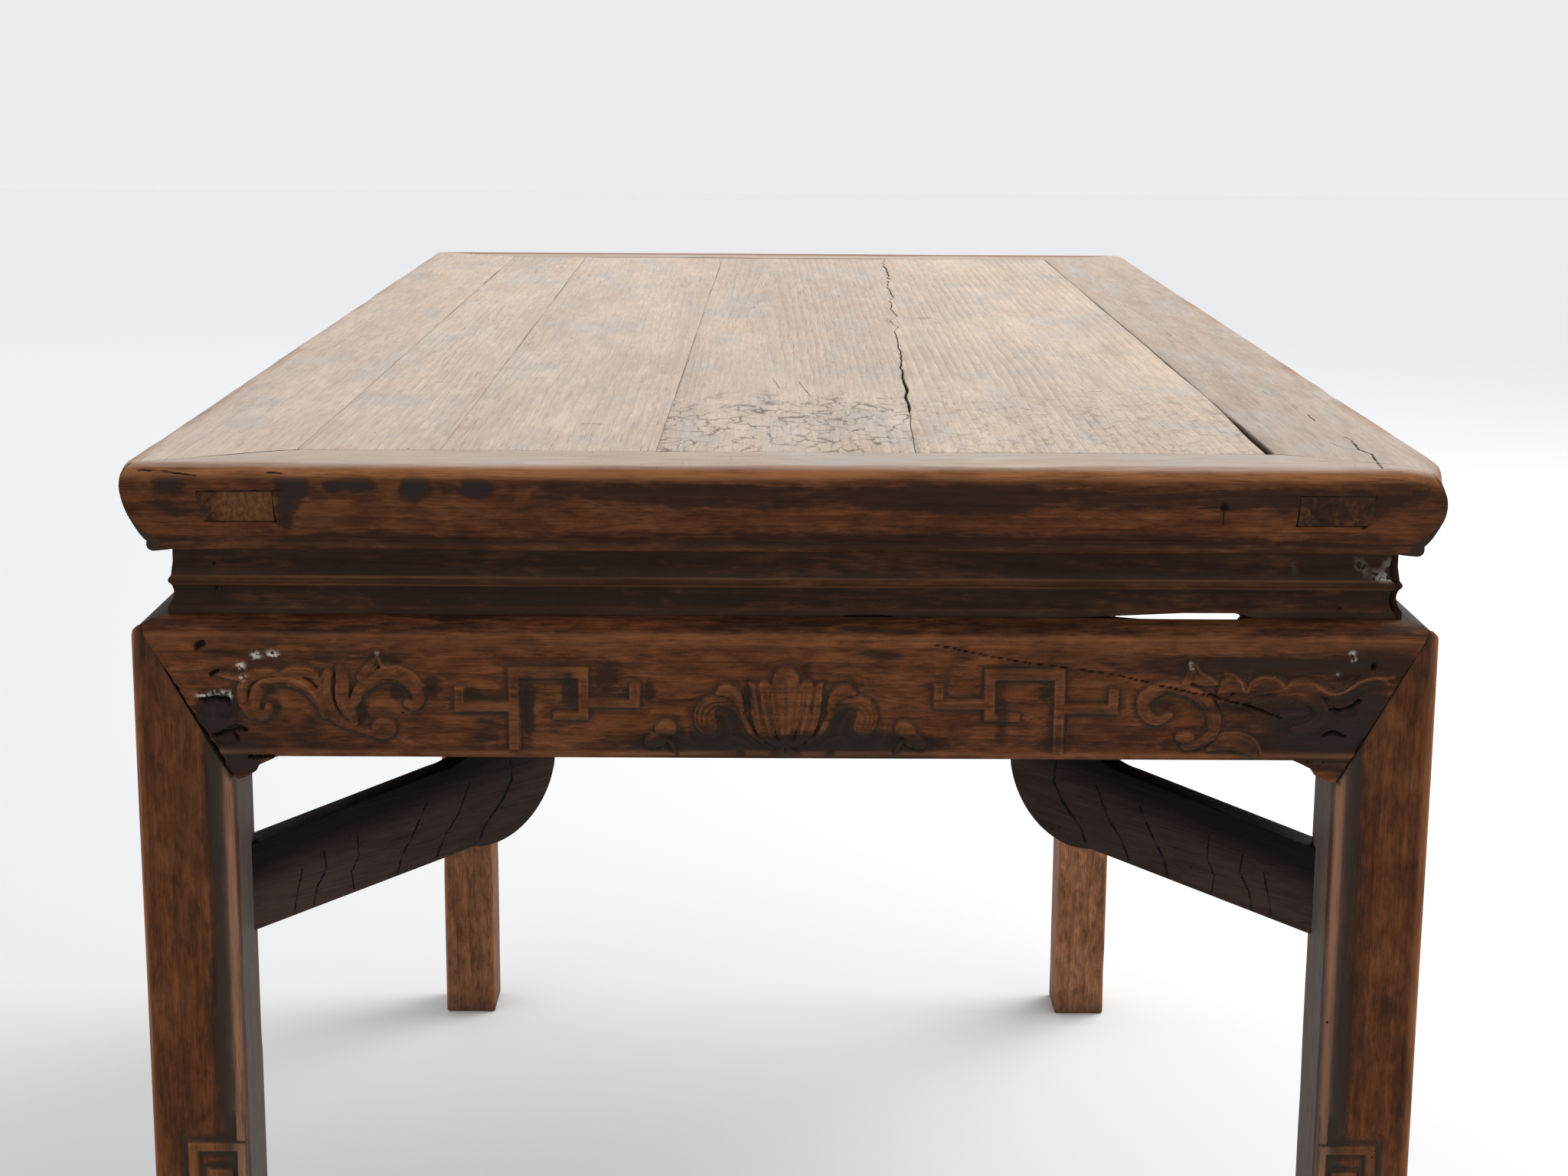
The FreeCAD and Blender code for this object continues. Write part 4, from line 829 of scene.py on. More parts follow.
def grain_group():
    """Growth rings, fibres and pores of elm, with the grain running along X."""
    if "elm_grain" in bpy.data.node_groups:
        return bpy.data.node_groups["elm_grain"]
    tree, source, sink = shader_group("elm_grain", [
        ("Vector", "NodeSocketVector", None),
        ("Ring Spacing", "NodeSocketFloat", 0.006),
        ("Heart Depth", "NodeSocketFloat", 0.03),
        ("Warp", "NodeSocketFloat", 0.012),
    ], [("Rings", "NodeSocketFloat"), ("Fibres", "NodeSocketFloat"),
        ("Pores", "NodeSocketFloat"), ("Height", "NodeSocketFloat")])
    vector, spacing, heart, warp = source.outputs[:4]
    slow = stretched_noise(tree, vector, (1.6, 9, 9), 2)
    parts = new_node(tree, "ShaderNodeSeparateXYZ", {0: vector}).outputs
    across = scaled(tree, slow, warp, parts[1])
    deep = scaled(tree, parts[0], 0.018, sum_of(tree, "SUBTRACT", parts[2], heart))
    square = sum_of(tree, "ADD", times(tree, across, across), times(tree, deep, deep))
    quick = stretched_noise(tree, vector, (7, 70, 70), 3)
    radius = scaled(tree, slow, warp, sum_of(tree, "SQRT", square))
    radius = scaled(tree, quick, 0.007, radius)
    part = sum_of(tree, "FRACT", sum_of(tree, "DIVIDE", radius, spacing))
    rings = ramp(tree, part, [(0, 0), (0.12, 1), (0.55, 0.55), (1, 0.05)], "EASE")
    fibres = stretched_noise(tree, vector, (24, 560, 560), 4, 0.65)
    dashes = noise_mask(tree, vector, (48, 1500, 1500), [(0.56, 0), (0.64, 1)], 2, 0.5)
    early = times(tree, dashes, ramp(tree, part, [(0, 1), (0.3, 0.9), (0.6, 0.25), (1, 0.6)]))
    height = scaled(tree, rings, 0.5, times(tree, fibres, 0.6))
    height = sum_of(tree, "SUBTRACT", height, times(tree, early, 0.6))
    give_out(tree, sink, Rings=rings, Fibres=fibres, Pores=early, Height=height)
    return tree


def wear_group():
    """Breaks up the marks of rubbing and dirt, and the painted highlight and shade that they carry,
    so that they look rubbed by hand.
    """
    if "hand_wear" in bpy.data.node_groups:
        return bpy.data.node_groups["hand_wear"]
    tree, source, sink = shader_group("hand_wear", [
        ("Vector", "NodeSocketVector", None),
        ("Wear", "NodeSocketFloat", 0),
        ("Grime", "NodeSocketFloat", 0),
        ("Stain", "NodeSocketFloat", 0.5),
    ], [("Worn", "NodeSocketFloat"), ("Grimy", "NodeSocketFloat"),
        ("Stained", "NodeSocketFloat"), ("Holes", "NodeSocketFloat")])
    vector, wear_and_highlight, grime_and_shade, stain_and_shade = source.outputs[:4]
    broken = stretched_noise(tree, vector, (16, 110, 110), 5, 0.62)
    worn = times(tree, wear_and_highlight, scaled(tree, broken, 2.6, -0.45, clamp=True), clamp=True)
    grimy_and_shaded = times(tree, grime_and_shade, scaled(tree, broken, 1.8, 0.1), clamp=True)
    cloud = stretched_noise(tree, vector, (8, 34, 34), 6, 0.62, 0.4)
    mottle = stretched_noise(tree, vector, (60, 260, 260), 4, 0.6)
    stained_and_shaded = scaled(tree, cloud, 1.5, scaled(tree, mottle, 1.1, -1.3))
    stained_and_shaded = sum_of(tree, "ADD", stained_and_shaded, stain_and_shade)
    stained_and_shaded = ramp(tree, stained_and_shaded, [(0.34, 0), (0.78, 1)], "EASE")
    cells = new_node(tree, "ShaderNodeTexVoronoi", {"Vector": vector, "Scale": 55})
    few = new_node(tree, "ShaderNodeTexNoise", {"Vector": vector, "Scale": 7, "Detail": 1})
    dots = sum_of(tree, "LESS_THAN", cells.outputs["Distance"], 0.045)
    holes = times(tree, dots, sum_of(tree, "GREATER_THAN", few.outputs["Fac"], 0.60))
    give_out(tree, sink, Worn=worn, Grimy=grimy_and_shaded, Stained=stained_and_shaded, Holes=holes)
    return tree


def mark_of(tree, name):
    """Reads one of the marks that a piece's own mesh carries."""
    return new_node(tree, "ShaderNodeAttribute", attribute_name=name).outputs["Fac"]


def rgb(colour, gain=1.0):
    """A colour for a socket, made lighter or darker."""
    return tuple(min(1.0, part * gain) for part in colour) + (1.0,)


GRAIN_TURNS = {"across": (0, 0, 0), "along": (0, 0, -90), "upright": (0, 90, 0),
               "arm_rising": (0, 0, -45), "arm_falling": (0, 0, 45)}


def drawn(tree, place, lines):
    """A mask of fine cracks and holes, each given as (face, half width, points) in millimetres."""
    bent = new_node(tree, "ShaderNodeTexNoise", {"Vector": place, "Scale": 260, "Detail": 2})
    bent = vector_math(tree, "MULTIPLY_ADD", bent.outputs["Color"], (LINE_SHAKE,) * 3, place)
    faint = noise_mask(tree, place, (170, 170, 170), [(0.38, 0.35), (0.54, 1)], 2)
    total = 0.0
    for face, half, points in lines:
        keep = (1, 0, 1) if face == "front" else (1, 1, 0)
        flat = vector_math(tree, "MULTIPLY", bent, keep)
        spots = [np.array((a, 0, b) if face == "front" else (a, b, 0)) * MM for a, b in points]
        for start, end in zip(spots, spots[1:] or spots):
            length = float(np.linalg.norm(end - start))
            way = tuple((end - start) / (length + 1e-9))
            offset = vector_math(tree, "SUBTRACT", flat,
                                 tuple(start + LINE_SHAKE / 2 * np.array(keep)))
            run = vector_math(tree, "DOT_PRODUCT", offset, way)
            run = sum_of(tree, "MAXIMUM", sum_of(tree, "MINIMUM", run, length), 0)
            foot = new_node(tree, "ShaderNodeVectorMath", {0: way, "Scale": run},
                            operation="SCALE").outputs[0]
            near = new_node(tree, "ShaderNodeMapRange", {
                "Value": vector_math(tree, "DISTANCE", offset, foot),
                "From Min": half * MM * 0.6, "From Max": half * MM * 1.3,
                "To Min": 1, "To Max": 0}).outputs[0]
            if face == "top":
                near = times(tree, near, mark_of(tree, "bleach_and_sheen"))
            if length:
                near = times(tree, near, faint)
            total = sum_of(tree, "MAXIMUM", near, total)
    return total


def weathered_face(tree, vector, rings, fibres, bleached, weathered, stripe):
    """The dry upper face: tan and grey clouds, growth rings, checks, saw marks and crackle."""
    dry = mixed(tree, noise_mask(tree, vector, (2.2, 16, 16), [(0.35, 0), (0.65, 0.65)],
                                 5, 0.6, 0.6), rgb(bleached), rgb(weathered))
    for scales, low, high, share, tone in (
            ((6, 22, 22), 0.50, 0.72, 0.36, colours().amber),
            ((9, 24, 40), 0.50, 0.66, 0.65, colours().silver_and_sheen),
            ((26, 90, 90), 0.48, 0.70, 0.3, tuple(part * 0.75 for part in weathered)),
            ((20, 60, 90), 0.50, 0.70, 0.4, tuple(part * 1.2 for part in bleached))):
        patch = noise_mask(tree, vector, scales, [(low, 0), (high, share)], 4, 0.6, 0.6)
        dry = mixed(tree, patch, dry, rgb(tone))
    striped = noise_mask(tree, vector, (3, 14, 14), [(0.4, 0.1 * stripe), (0.62, stripe)], 3)
    dry = mixed(tree, times(tree, rings, striped), dry, rgb(weathered, 0.62))
    dry = mixed(tree, scaled(tree, fibres, 1.1, -0.42, clamp=True), dry, rgb(weathered, 0.66))
    worked = noise_mask(tree, vector, (5, 14, 14), [(0.47, 0), (0.62, 1)], 3, 0.6)
    checks = noise_mask(tree, vector, (26, 1300, 1300), [(0.62, 0), (0.68, 0.6)], 2, 0.5)
    saw_marks = noise_mask(tree, vector, (900, 70, 70), [(0.66, 0), (0.71, 0.7)], 2, 0.5)
    scored = times(tree, worked, sum_of(tree, "MAXIMUM", checks, saw_marks))
    dry = mixed(tree, scored, dry, rgb(weathered, 0.25))
    bent = new_node(tree, "ShaderNodeTexNoise", {"Vector": vector, "Scale": 60, "Detail": 3})
    bent = vector_math(tree, "MULTIPLY_ADD", bent.outputs["Color"], (0.02, 0.02, 0), vector)
    bent = vector_math(tree, "MULTIPLY", bent, (42, 100, 100))
    cells = new_node(tree, "ShaderNodeTexVoronoi", {"Vector": bent, "Scale": 1},
                     feature="DISTANCE_TO_EDGE").outputs[0]
    crazed = ramp(tree, cells, [(0.02, 0.8), (0.08, 0)])
    crazed = times(tree, crazed, times(tree, mark_of(tree, "stain_and_shade"), noise_mask(
        tree, vector, (45, 60, 60), [(0.42, 0.1), (0.58, 1)], 3)))
    return mixed(tree, crazed, dry, rgb(weathered, 0.18))


def timber(name, grain, base, stain_and_shade_colour, worn_colour, stain_and_shade=0.4, top=None, shift=(0, 0, 0),
           ring=0.006, heart=0.03, rough=0.6, bump=0.4, shine=0.07, lines=(), shaded=None):
    """Builds a wood: its grain, old stains, rubbed arrises, dusty hollows and a bleached upper face;
    its marks also lay painted highlight, shade and sheen, and it can paint shade over the upper part
    of a brace.
    """
    if name in bpy.data.materials:
        return bpy.data.materials[name]
    material = bpy.data.materials.new(name)
    material.use_nodes = True
    tree = material.node_tree
    tree.nodes.clear()
    place = new_node(tree, "ShaderNodeTexCoord").outputs["Object"]
    turn = tuple(math.radians(angle) for angle in GRAIN_TURNS[grain])
    vector = new_node(tree, "ShaderNodeMapping", {
        "Vector": place, "Location": shift, "Rotation": turn}).outputs[0]
    grown = new_node(tree, "ShaderNodeGroup", {
        "Vector": vector, "Ring Spacing": ring, "Heart Depth": heart}, node_tree=grain_group())
    hand = new_node(tree, "ShaderNodeGroup", {
        "Vector": vector, "Wear": mark_of(tree, "wear_and_highlight"), "Grime": mark_of(tree, "grime_and_shade"),
        "Stain": sum_of(tree, "ADD", mark_of(tree, "stain_and_shade"), stain_and_shade)}, node_tree=wear_group())
    rings, fibres, pores, height = grown.outputs[:4]
    worn, grimy_and_shaded, stained_and_shaded, holes = hand.outputs[:4]

    streak = scaled(tree, rings, 0.35, times(tree, fibres, 1.3))
    streak = sum_of(tree, "SUBTRACT", streak, 0.36, clamp=True)
    wood = mixed(tree, streak, rgb(base, 1 - GRAIN_CONTRAST), rgb(base, 1 + GRAIN_CONTRAST))
    drift = stretched_noise(tree, vector, (12, 42, 42), 5, 0.65, 0.5)
    wood = mixed(tree, ramp(tree, drift, [(0.44, 0), (0.72, 0.45)]), wood, rgb(worn_colour, 0.5))
    wood = mixed(tree, noise_mask(tree, vector, (90, 700, 700), [(0.50, 0), (0.72, 0.6)], 3, 0.6),
                 wood, rgb(stain_and_shade_colour, 1.3))
    patchy = noise_mask(tree, vector, (16, 60, 60), [(0.32, 0.55), (0.5, 0.85), (0.68, 1)],
                        5, 0.65, 0.4)
    mottled = noise_mask(tree, vector, (60, 130, 130), [(0.34, 0.66), (0.5, 0.98), (0.66, 1.24)],
                         4, 0.62, 0.5)
    wood = mixed(tree, 1.0, wood, mixed(tree, 1.0, patchy, mottled, "MULTIPLY"), "MULTIPLY")
    # The stain mix also lays the painted shade that the stain mark carries in the legs' hollows and
    # under the front apron's arris.
    wood = mixed(tree, times(tree, stained_and_shaded, 0.88), wood,
                 mixed(tree, streak, rgb(stain_and_shade_colour, 0.75), rgb(stain_and_shade_colour, 1.3)))
    sooty = scaled(tree, drift, 1, scaled(tree, fibres, 0.3, mark_of(tree, "stain_and_shade")))
    sooty = sum_of(tree, "SUBTRACT", sooty, 0.5)
    wood = mixed(tree, ramp(tree, sooty, [(0.62, 0), (0.92, 0.8)]), wood, rgb(colours().soot))
    end = mark_of(tree, "endgrain")
    sawn = noise_mask(tree, vector, (130, 420, 260), [(0.35, 0), (0.65, 1)], 4, 0.6)
    wood = mixed(tree, end, wood,
                 mixed(tree, sawn, (0.055, 0.026, 0.011, 1), (0.16, 0.075, 0.027, 1)))
    # The rubbed colour also lays the painted highlights that the wear mark carries on the carving and
    # the right legs.
    rubbed_colour = mixed(tree, fibres, rgb(worn_colour, 0.75), rgb(worn_colour, 1.25))
    wood = mixed(tree, times(tree, worn, 0.8), wood, rubbed_colour)
    roughness = scaled(tree, fibres, 0.18, rough - 0.09)
    pored = times(tree, pores, 0.45)
    pore_colour = rgb(stain_and_shade_colour)
    if top:
        face = mark_of(tree, "bleach_and_sheen")
        wood = mixed(tree, face, wood, weathered_face(tree, vector, rings, fibres, *top))
        roughness = scaled(tree, face, 0.08, roughness)
        pored = mixed(tree, face, pored, times(tree, pores, 0.3))
        pore_colour = mixed(tree, face, pore_colour, rgb(top[1], 0.4))
    else:
        # Without a top face, the bleach mark lays a painted sheen of grey over the wood; only the
        # front legs carry it.
        painted_sheen = times(tree, mark_of(tree, "bleach_and_sheen"), scaled(tree, fibres, 1, 0.5))
        wood = mixed(tree, painted_sheen, wood, rgb(colours().silver_and_sheen, 0.36))
    wood = mixed(tree, pored, wood, pore_colour)
    # The dust colour also lays the painted shade that the grime mark carries in the carving and the
    # legs' hollows.
    wood = mixed(tree, times(tree, grimy_and_shaded, 0.85), wood, rgb(colours().dust_and_shade))
    # Painted shade: above a level that slopes with the arm, the wood is darkened towards the stain
    # colour, as if the top shaded the arm's upper part.
    if shaded:
        rise, low, high = shaded
        place = vector_math(tree, "ABSOLUTE", place)
        level = scaled(tree, drift, 0.012, vector_math(tree, "DOT_PRODUCT", place, rise))
        above = new_node(tree, "ShaderNodeMapRange", {
            "Value": level, "From Min": low, "From Max": high, "To Max": 0.9}).outputs[0]
        wood = mixed(tree, above, wood, rgb(stain_and_shade_colour, 0.3))
    if lines:
        holes = sum_of(tree, "MAXIMUM", holes, drawn(tree, place, lines))
    wood = mixed(tree, holes, wood, (0.004, 0.003, 0.003, 1))
    flecks = new_node(tree, "ShaderNodeTexNoise", {"Vector": vector, "Scale": 420, "Detail": 2})
    flecks = times(tree, mark_of(tree, "paint"),
                   ramp(tree, flecks.outputs["Fac"], [(0.44, 0), (0.52, 1)]))
    wood = mixed(tree, flecks, wood, rgb(colours().paint))
    roughness = scaled(tree, worn, -0.10, roughness)

    deep = sum_of(tree, "SUBTRACT", height, times(tree, holes, 3))
    relief = new_node(tree, "ShaderNodeBump", {
        "Strength": bump, "Distance": 0.0006, "Height": deep}).outputs[0]
    shader = new_node(tree, "ShaderNodeBsdfPrincipled", {
        "Base Color": wood, "Roughness": roughness, "Normal": relief,
        "Specular IOR Level": shine})
    new_node(tree, "ShaderNodeOutputMaterial", {"Surface": shader.outputs[0]})
    return material


def dark_elm(piece, grain):
    """The brown of the waist, the aprons and the legs."""
    tint = colours()
    shift = {"across": (0.13, 0.02, 0.31), "along": (0.4, 0.05, 0.3), "upright": (0.2, 0.1, 0.0)}
    # The rear legs get lighter copies of the brown, the right one lightest: painted light, as if lit
    # from the right.
    stain_and_shade, light, dark = {
        "apron": (0.34, 1.2, 1.0), "leg": (0.3, 1.02, 1.3), "rear_left": (0.2, 0.94, 2.6),
        "rear_right": (0.08, 1.25, 3.2), "waist": (0.74, 0.8, 0.72)}[piece]
    brown = tint.rear_leg_lit if "rear" in piece else tint.warm
    lines = WAIST_LINES if (piece, grain) == ("waist", "across") else ()
    return timber(f"dark_elm_{piece}_{grain}", grain, rgb(brown, light)[:3],
                  rgb(tint.dark, dark)[:3], tint.worn, stain_and_shade=stain_and_shade, shift=shift[grain],
                  ring=0.009, heart=0.06, lines=lines)


def rail_elm(name, grain):
    """A rail of the top: dark on its mouldings and bleached on its upper face."""
    tint = colours()
    shift = {"across": (0.7, 0.03, 0.11), "along": (0.1, 0.6, 0.2)}
    light = {"left": 1.04, "right": 0.84, "front": 0.9, "rear": 0.9}[name]
    lines = RAIL_LINES if name in ("front", "right") else ()
    return timber(f"rail_elm_{name}", grain, tint.warm, tint.dark, tint.worn, stain_and_shade=0.42,
                  top=(rgb(tint.bleached, light)[:3], rgb(tint.weathered, light)[:3], 0.12),
                  shift=shift[grain], ring=0.007, heart=0.09, lines=lines)


def board_elm(number):
    """One of the four boards of the top."""
    tint = colours()
    gains = ((1.1, 1.1, 1.09), (1.1, 1.1, 1.09), (1.03, 1.03, 1.03), (1.1, 1.08, 1.03))
    bleached = tuple(part * gain for part, gain in zip(tint.bleached, gains[number]))
    shift = ((0.0, 0.22, -0.78), (0.9, 0.14, -0.80), (0.3, -0.02, -0.81), (1.7, -0.17, -0.79))
    return timber(f"bleached_elm_{number + 1}", "along", tint.raw, tint.dark, tint.worn,
                  stain_and_shade=0.3, top=(bleached, tint.weathered, (0.25, 0.25, 0.35, 0.5)[number]),
                  shift=shift[number], ring=(0.0065, 0.007, 0.0055, 0.0068)[number],
                  heart=(0.05, 0.04, 0.02, 0.03)[number], rough=0.62, bump=0.35, shine=0.2,
                  lines=BOARD_LINES[number])


# The top

def mitre_end(inward, width, other_width, half, lead=4.5):
    """How far from the middle a rail reaches, at a distance in from its outer face."""
    beyond = lead + (np.maximum(inward, lead) - lead) * (other_width - lead) / (width - lead)
    return half - np.where(inward < lead, inward, beyond)


def worn_corner(grid):
    """Wears the four upper corners of the frame round, the front right one most."""
    for across, along, reach, deep in ((-1, -1, 12, 2.2), (1, -1, 30, 6.5), (-1, 1, 10, 1.8),
                                       (1, 1, 14, 2.4)):
        corner = np.array([across * TOP_HALF_WIDTH, along * TOP_HALF_LENGTH, TABLE_HEIGHT])
        gap = np.linalg.norm(grid / MM - corner, axis=-1)
        push = deep * np.clip(1 - gap / reach, 0, 1) ** 1.6
        grid -= push[..., None] * np.array([across, along, 0.75]) * MM


def rail_grid(side, width, other_width, half_along, node, axis, hole=None, seed=1):
    """Sweeps the section of a rail along one side of the top."""
    settings = sizes()
    outline = outline_of(node, axis, 200.0 if axis else 20.0)
    outer = TOP_HALF_LENGTH if axis == 0 else TOP_HALF_WIDTH
    outline = np.stack([outline[:, 0] + outer, outline[:, 1]], axis=1)
    fine = 0.35 if side == "front" else 1.0
    section, wear_and_highlight, grime_and_shade = rubbed(outline, 0.8, longest=7.0 * fine)
    if hole is not None:
        section, wear_and_highlight, grime_and_shade = with_levels(section, wear_and_highlight, grime_and_shade, MORTISE_LEVELS)
    inward, up = section[:, 0], section[:, 1]
    marks = () if hole is None else tuple(sign * edge for sign in (-1, 1) for edge in hole)
    places = stations(half_along, settings.length_step / MM * fine, marks)
    end = mitre_end(inward, width, other_width, half_along)
    along = stretched(places[:, None], half_along, end[None, :] - settings.joint_gap / MM * 0.5,
                      end.min() - 14.0)
    depth = np.broadcast_to(inward, along.shape).copy()
    height = np.broadcast_to(up, along.shape).copy()
    drift = settings.surface_drift / MM
    rub = settings.arris_wear / MM
    chips = np.clip(patches(along, height, 26.0, 9.0, seed + 3) - 0.35, 0, 1)
    bite = wear_and_highlight[None, :] * rub * (0.35 + 0.65 * np.clip(ripple(along, 60.0, seed), 0, 1) + chips)
    outer_face = eased(width * 0.5 - depth, 0, 8)
    depth += outer_face * (bite + drift * (0.6 + 0.5 * patches(along, height, 120, 16, seed)))
    upper = eased(height, TABLE_HEIGHT - 6, TABLE_HEIGHT - 0.5)
    height -= upper * (bite * 0.6 + drift * (0.7 + 0.7 * patches(along, depth, 150, 30, seed + 1)))
    bleach_and_sheen = eased(height, TABLE_HEIGHT - 3.0, TABLE_HEIGHT - 0.7) * np.ones_like(along)
    grimy_and_shaded = np.broadcast_to(grime_and_shade, along.shape) * eased(TABLE_HEIGHT - 2 - height, 0, 4)
    under = eased(FRAME_UNDER + 19 - height, 0, 8) * outer_face * 0.28
    grimy_and_shaded = np.clip(grimy_and_shaded * 0.45, 0, 1)
    top_edge = eased(height, TABLE_HEIGHT - 11, TABLE_HEIGHT - 6)
    worn = np.clip(np.broadcast_to(wear_and_highlight, along.shape) * (0.1 + 0.9 * top_edge)
                   * (0.75 + 0.4 * ripple(along, 45.0, seed + 7))
                   + 0.8 * eased(height, TABLE_HEIGHT - 9.5, TABLE_HEIGHT - 4) * outer_face, 0, 1)
    inner_edge = eased(depth, width - 1.6, width - 0.3) * upper * (
        0.35 + 0.65 * np.clip(0.4 + ripple(along, 70.0, seed + 12), 0, 1))
    height -= inner_edge * 0.4
    joint = np.abs(along) > end[None, :] - settings.joint_gap / MM * 0.5 - 0.5
    grimy_and_shaded = np.where(joint, 1.0, np.clip(grimy_and_shaded + inner_edge * 0.9, 0, 1))
    bleach_and_sheen = bleach_and_sheen * (1 - 0.7 * joint)
    rim = eased((26 if side == "rear" else 9) + 5 * patches(along, depth, 60, 8, seed + 9)
                - depth, 0, 7)
    bleach_and_sheen = bleach_and_sheen * (1 - (0.85 if side == "rear" else 0.55) * rim)
    worn = np.maximum(worn, 0.8 * rim * upper)
    holes = None
    if hole is not None:
        rings, around = along.shape
        middle = (np.abs(places[:-1]) + np.abs(places[1:])) / 2
        high = (up + np.roll(up, -1)) / 2
        front = (inward + np.roll(inward, -1)) / 2 < 12
        holes = ((middle[:, None] > hole[0]) & (middle[:, None] < hole[1])
                 & front[None, :] & (high[None, :] > MORTISE_LEVELS[0])
                 & (high[None, :] < MORTISE_LEVELS[1]))
    grid = side_of(side, along, depth, height, TOP_HALF_WIDTH, TOP_HALF_LENGTH)
    given = {"wear_and_highlight": worn, "grime_and_shade": grimy_and_shaded, "bleach_and_sheen": bleach_and_sheen,
             "stain_and_shade": under * np.ones_like(along)}
    if side == "front":
        frayed = (2.2 * patches(along, height, 8.0, 5.0, 77)
                  + 2.0 * patches(along, height, 3.4, 2.4, 78))
        given["stain_and_shade"] = blots(along + frayed, height + frayed * 0.4, RAIL_STAINS) * outer_face
        given["endgrain"] = blots(along, height, RAIL_PALE) * outer_face
    worn_corner(grid)
    return grid, given, holes


def tenon_end(side, sign, seed):
    """The end of a long rail's through tenon, shaped to the moulding that it comes through."""
    outline = turned_left(outline_of("top_rail_front", 0, 20.0)) + (TOP_HALF_LENGTH, 0)
    face = outline[outline[:, 0] < 14]
    face = face[face[:, 1].argsort()]
    low, high = MORTISE_LEVELS[0] + 0.22, MORTISE_LEVELS[1] - 0.22
    ups = np.linspace(low, high, 7)
    near = np.interp(ups, face[:, 1], face[:, 0]) + TENON_PLAY
    across = np.linspace(MORTISE_SPAN[0] + TENON_PLAY, MORTISE_SPAN[1] - TENON_PLAY, 15)
    loop_x = np.concatenate([across, np.full(5, across[-1]), across[::-1], np.full(5, across[0])])
    loop_z = np.concatenate([np.full(15, low), ups[1:-1], np.full(15, high), ups[1:-1][::-1]])
    off_x, off_z = loop_x - across.mean(), loop_z - (low + high) / 2
    layers = []
    for pull, size, sink in ((0, 1, 26), (0, 1, 0.9), (0.35, 1, 0.15), (0.7, 1, 0),
                             (0, 0.67, 0), (0, 0.34, 0), (0, 0.07, 0)):
        x = loop_x - np.clip(off_x, -1, 1) * pull - off_x * (1 - size)
        z = loop_z - np.clip(off_z, -1, 1) * pull - off_z * (1 - size)
        sink = sink + (size < 1) * 0.12 * patches(x, z, 6, 5, seed)
        layers.append(np.stack([sign * x, np.interp(z, ups, near) + sink, z]))
    x, inward, z = np.array(layers).transpose(1, 0, 2)
    grid = side_of(side, x, inward, z, TOP_HALF_WIDTH, TOP_HALF_LENGTH)
    pale = 0.8 * eased(315 - np.abs(x), 0, 6) * (sign < 0) * (side == "front")
    grime_and_shade = np.array([0.4, 0.4, 0.4, 0.12, 0, 0, 0])[:, None]
    return grid, {"endgrain": pale, "grime_and_shade": grime_and_shade, "stain_and_shade": 0.3 - pale * 0.6}, None


def make_rails():
    """The four rails of the frame; the long ones carry the ends of their through tenons."""
    for side, sign, seed in (("left", -1, 11), ("right", 1, 23)):
        body = rail_grid(side, RAIL_LONG, RAIL_SHORT, TOP_HALF_LENGTH, "top_rail_left", 1,
                         seed=seed)
        ends = [tenon_end("front", sign, seed), tenon_end("rear", -sign, seed + 1)]
        build_piece(f"rail_{side}", [body] + ends, rail_elm(side, "along"),
                    [f"top_rail_{side}"])
    for side, seed in (("front", 31), ("rear", 47)):
        body = rail_grid(side, RAIL_SHORT, RAIL_LONG, TOP_HALF_WIDTH, "top_rail_front", 0,
                         MORTISE_SPAN, seed)
        build_piece(f"rail_{side}", [body], rail_elm(side, "across"),
                    [f"top_rail_{side}"])


def board_loops(node):
    """The outlines of a board near both its ends, from the same corner on."""
    loops = []
    for place in (-500.0, 500.0):
        loop = trimmed(turned_left(outline_of(node, 1, place)), 0.02)
        loops.append(np.roll(loop, -np.argmin(loop[:, 0] * 0.01 + loop[:, 1] * 10), axis=0))
    if len(loops[0]) != len(loops[1]):
        raise RuntimeError(f"the two cuts through {node} differ")
    return loops


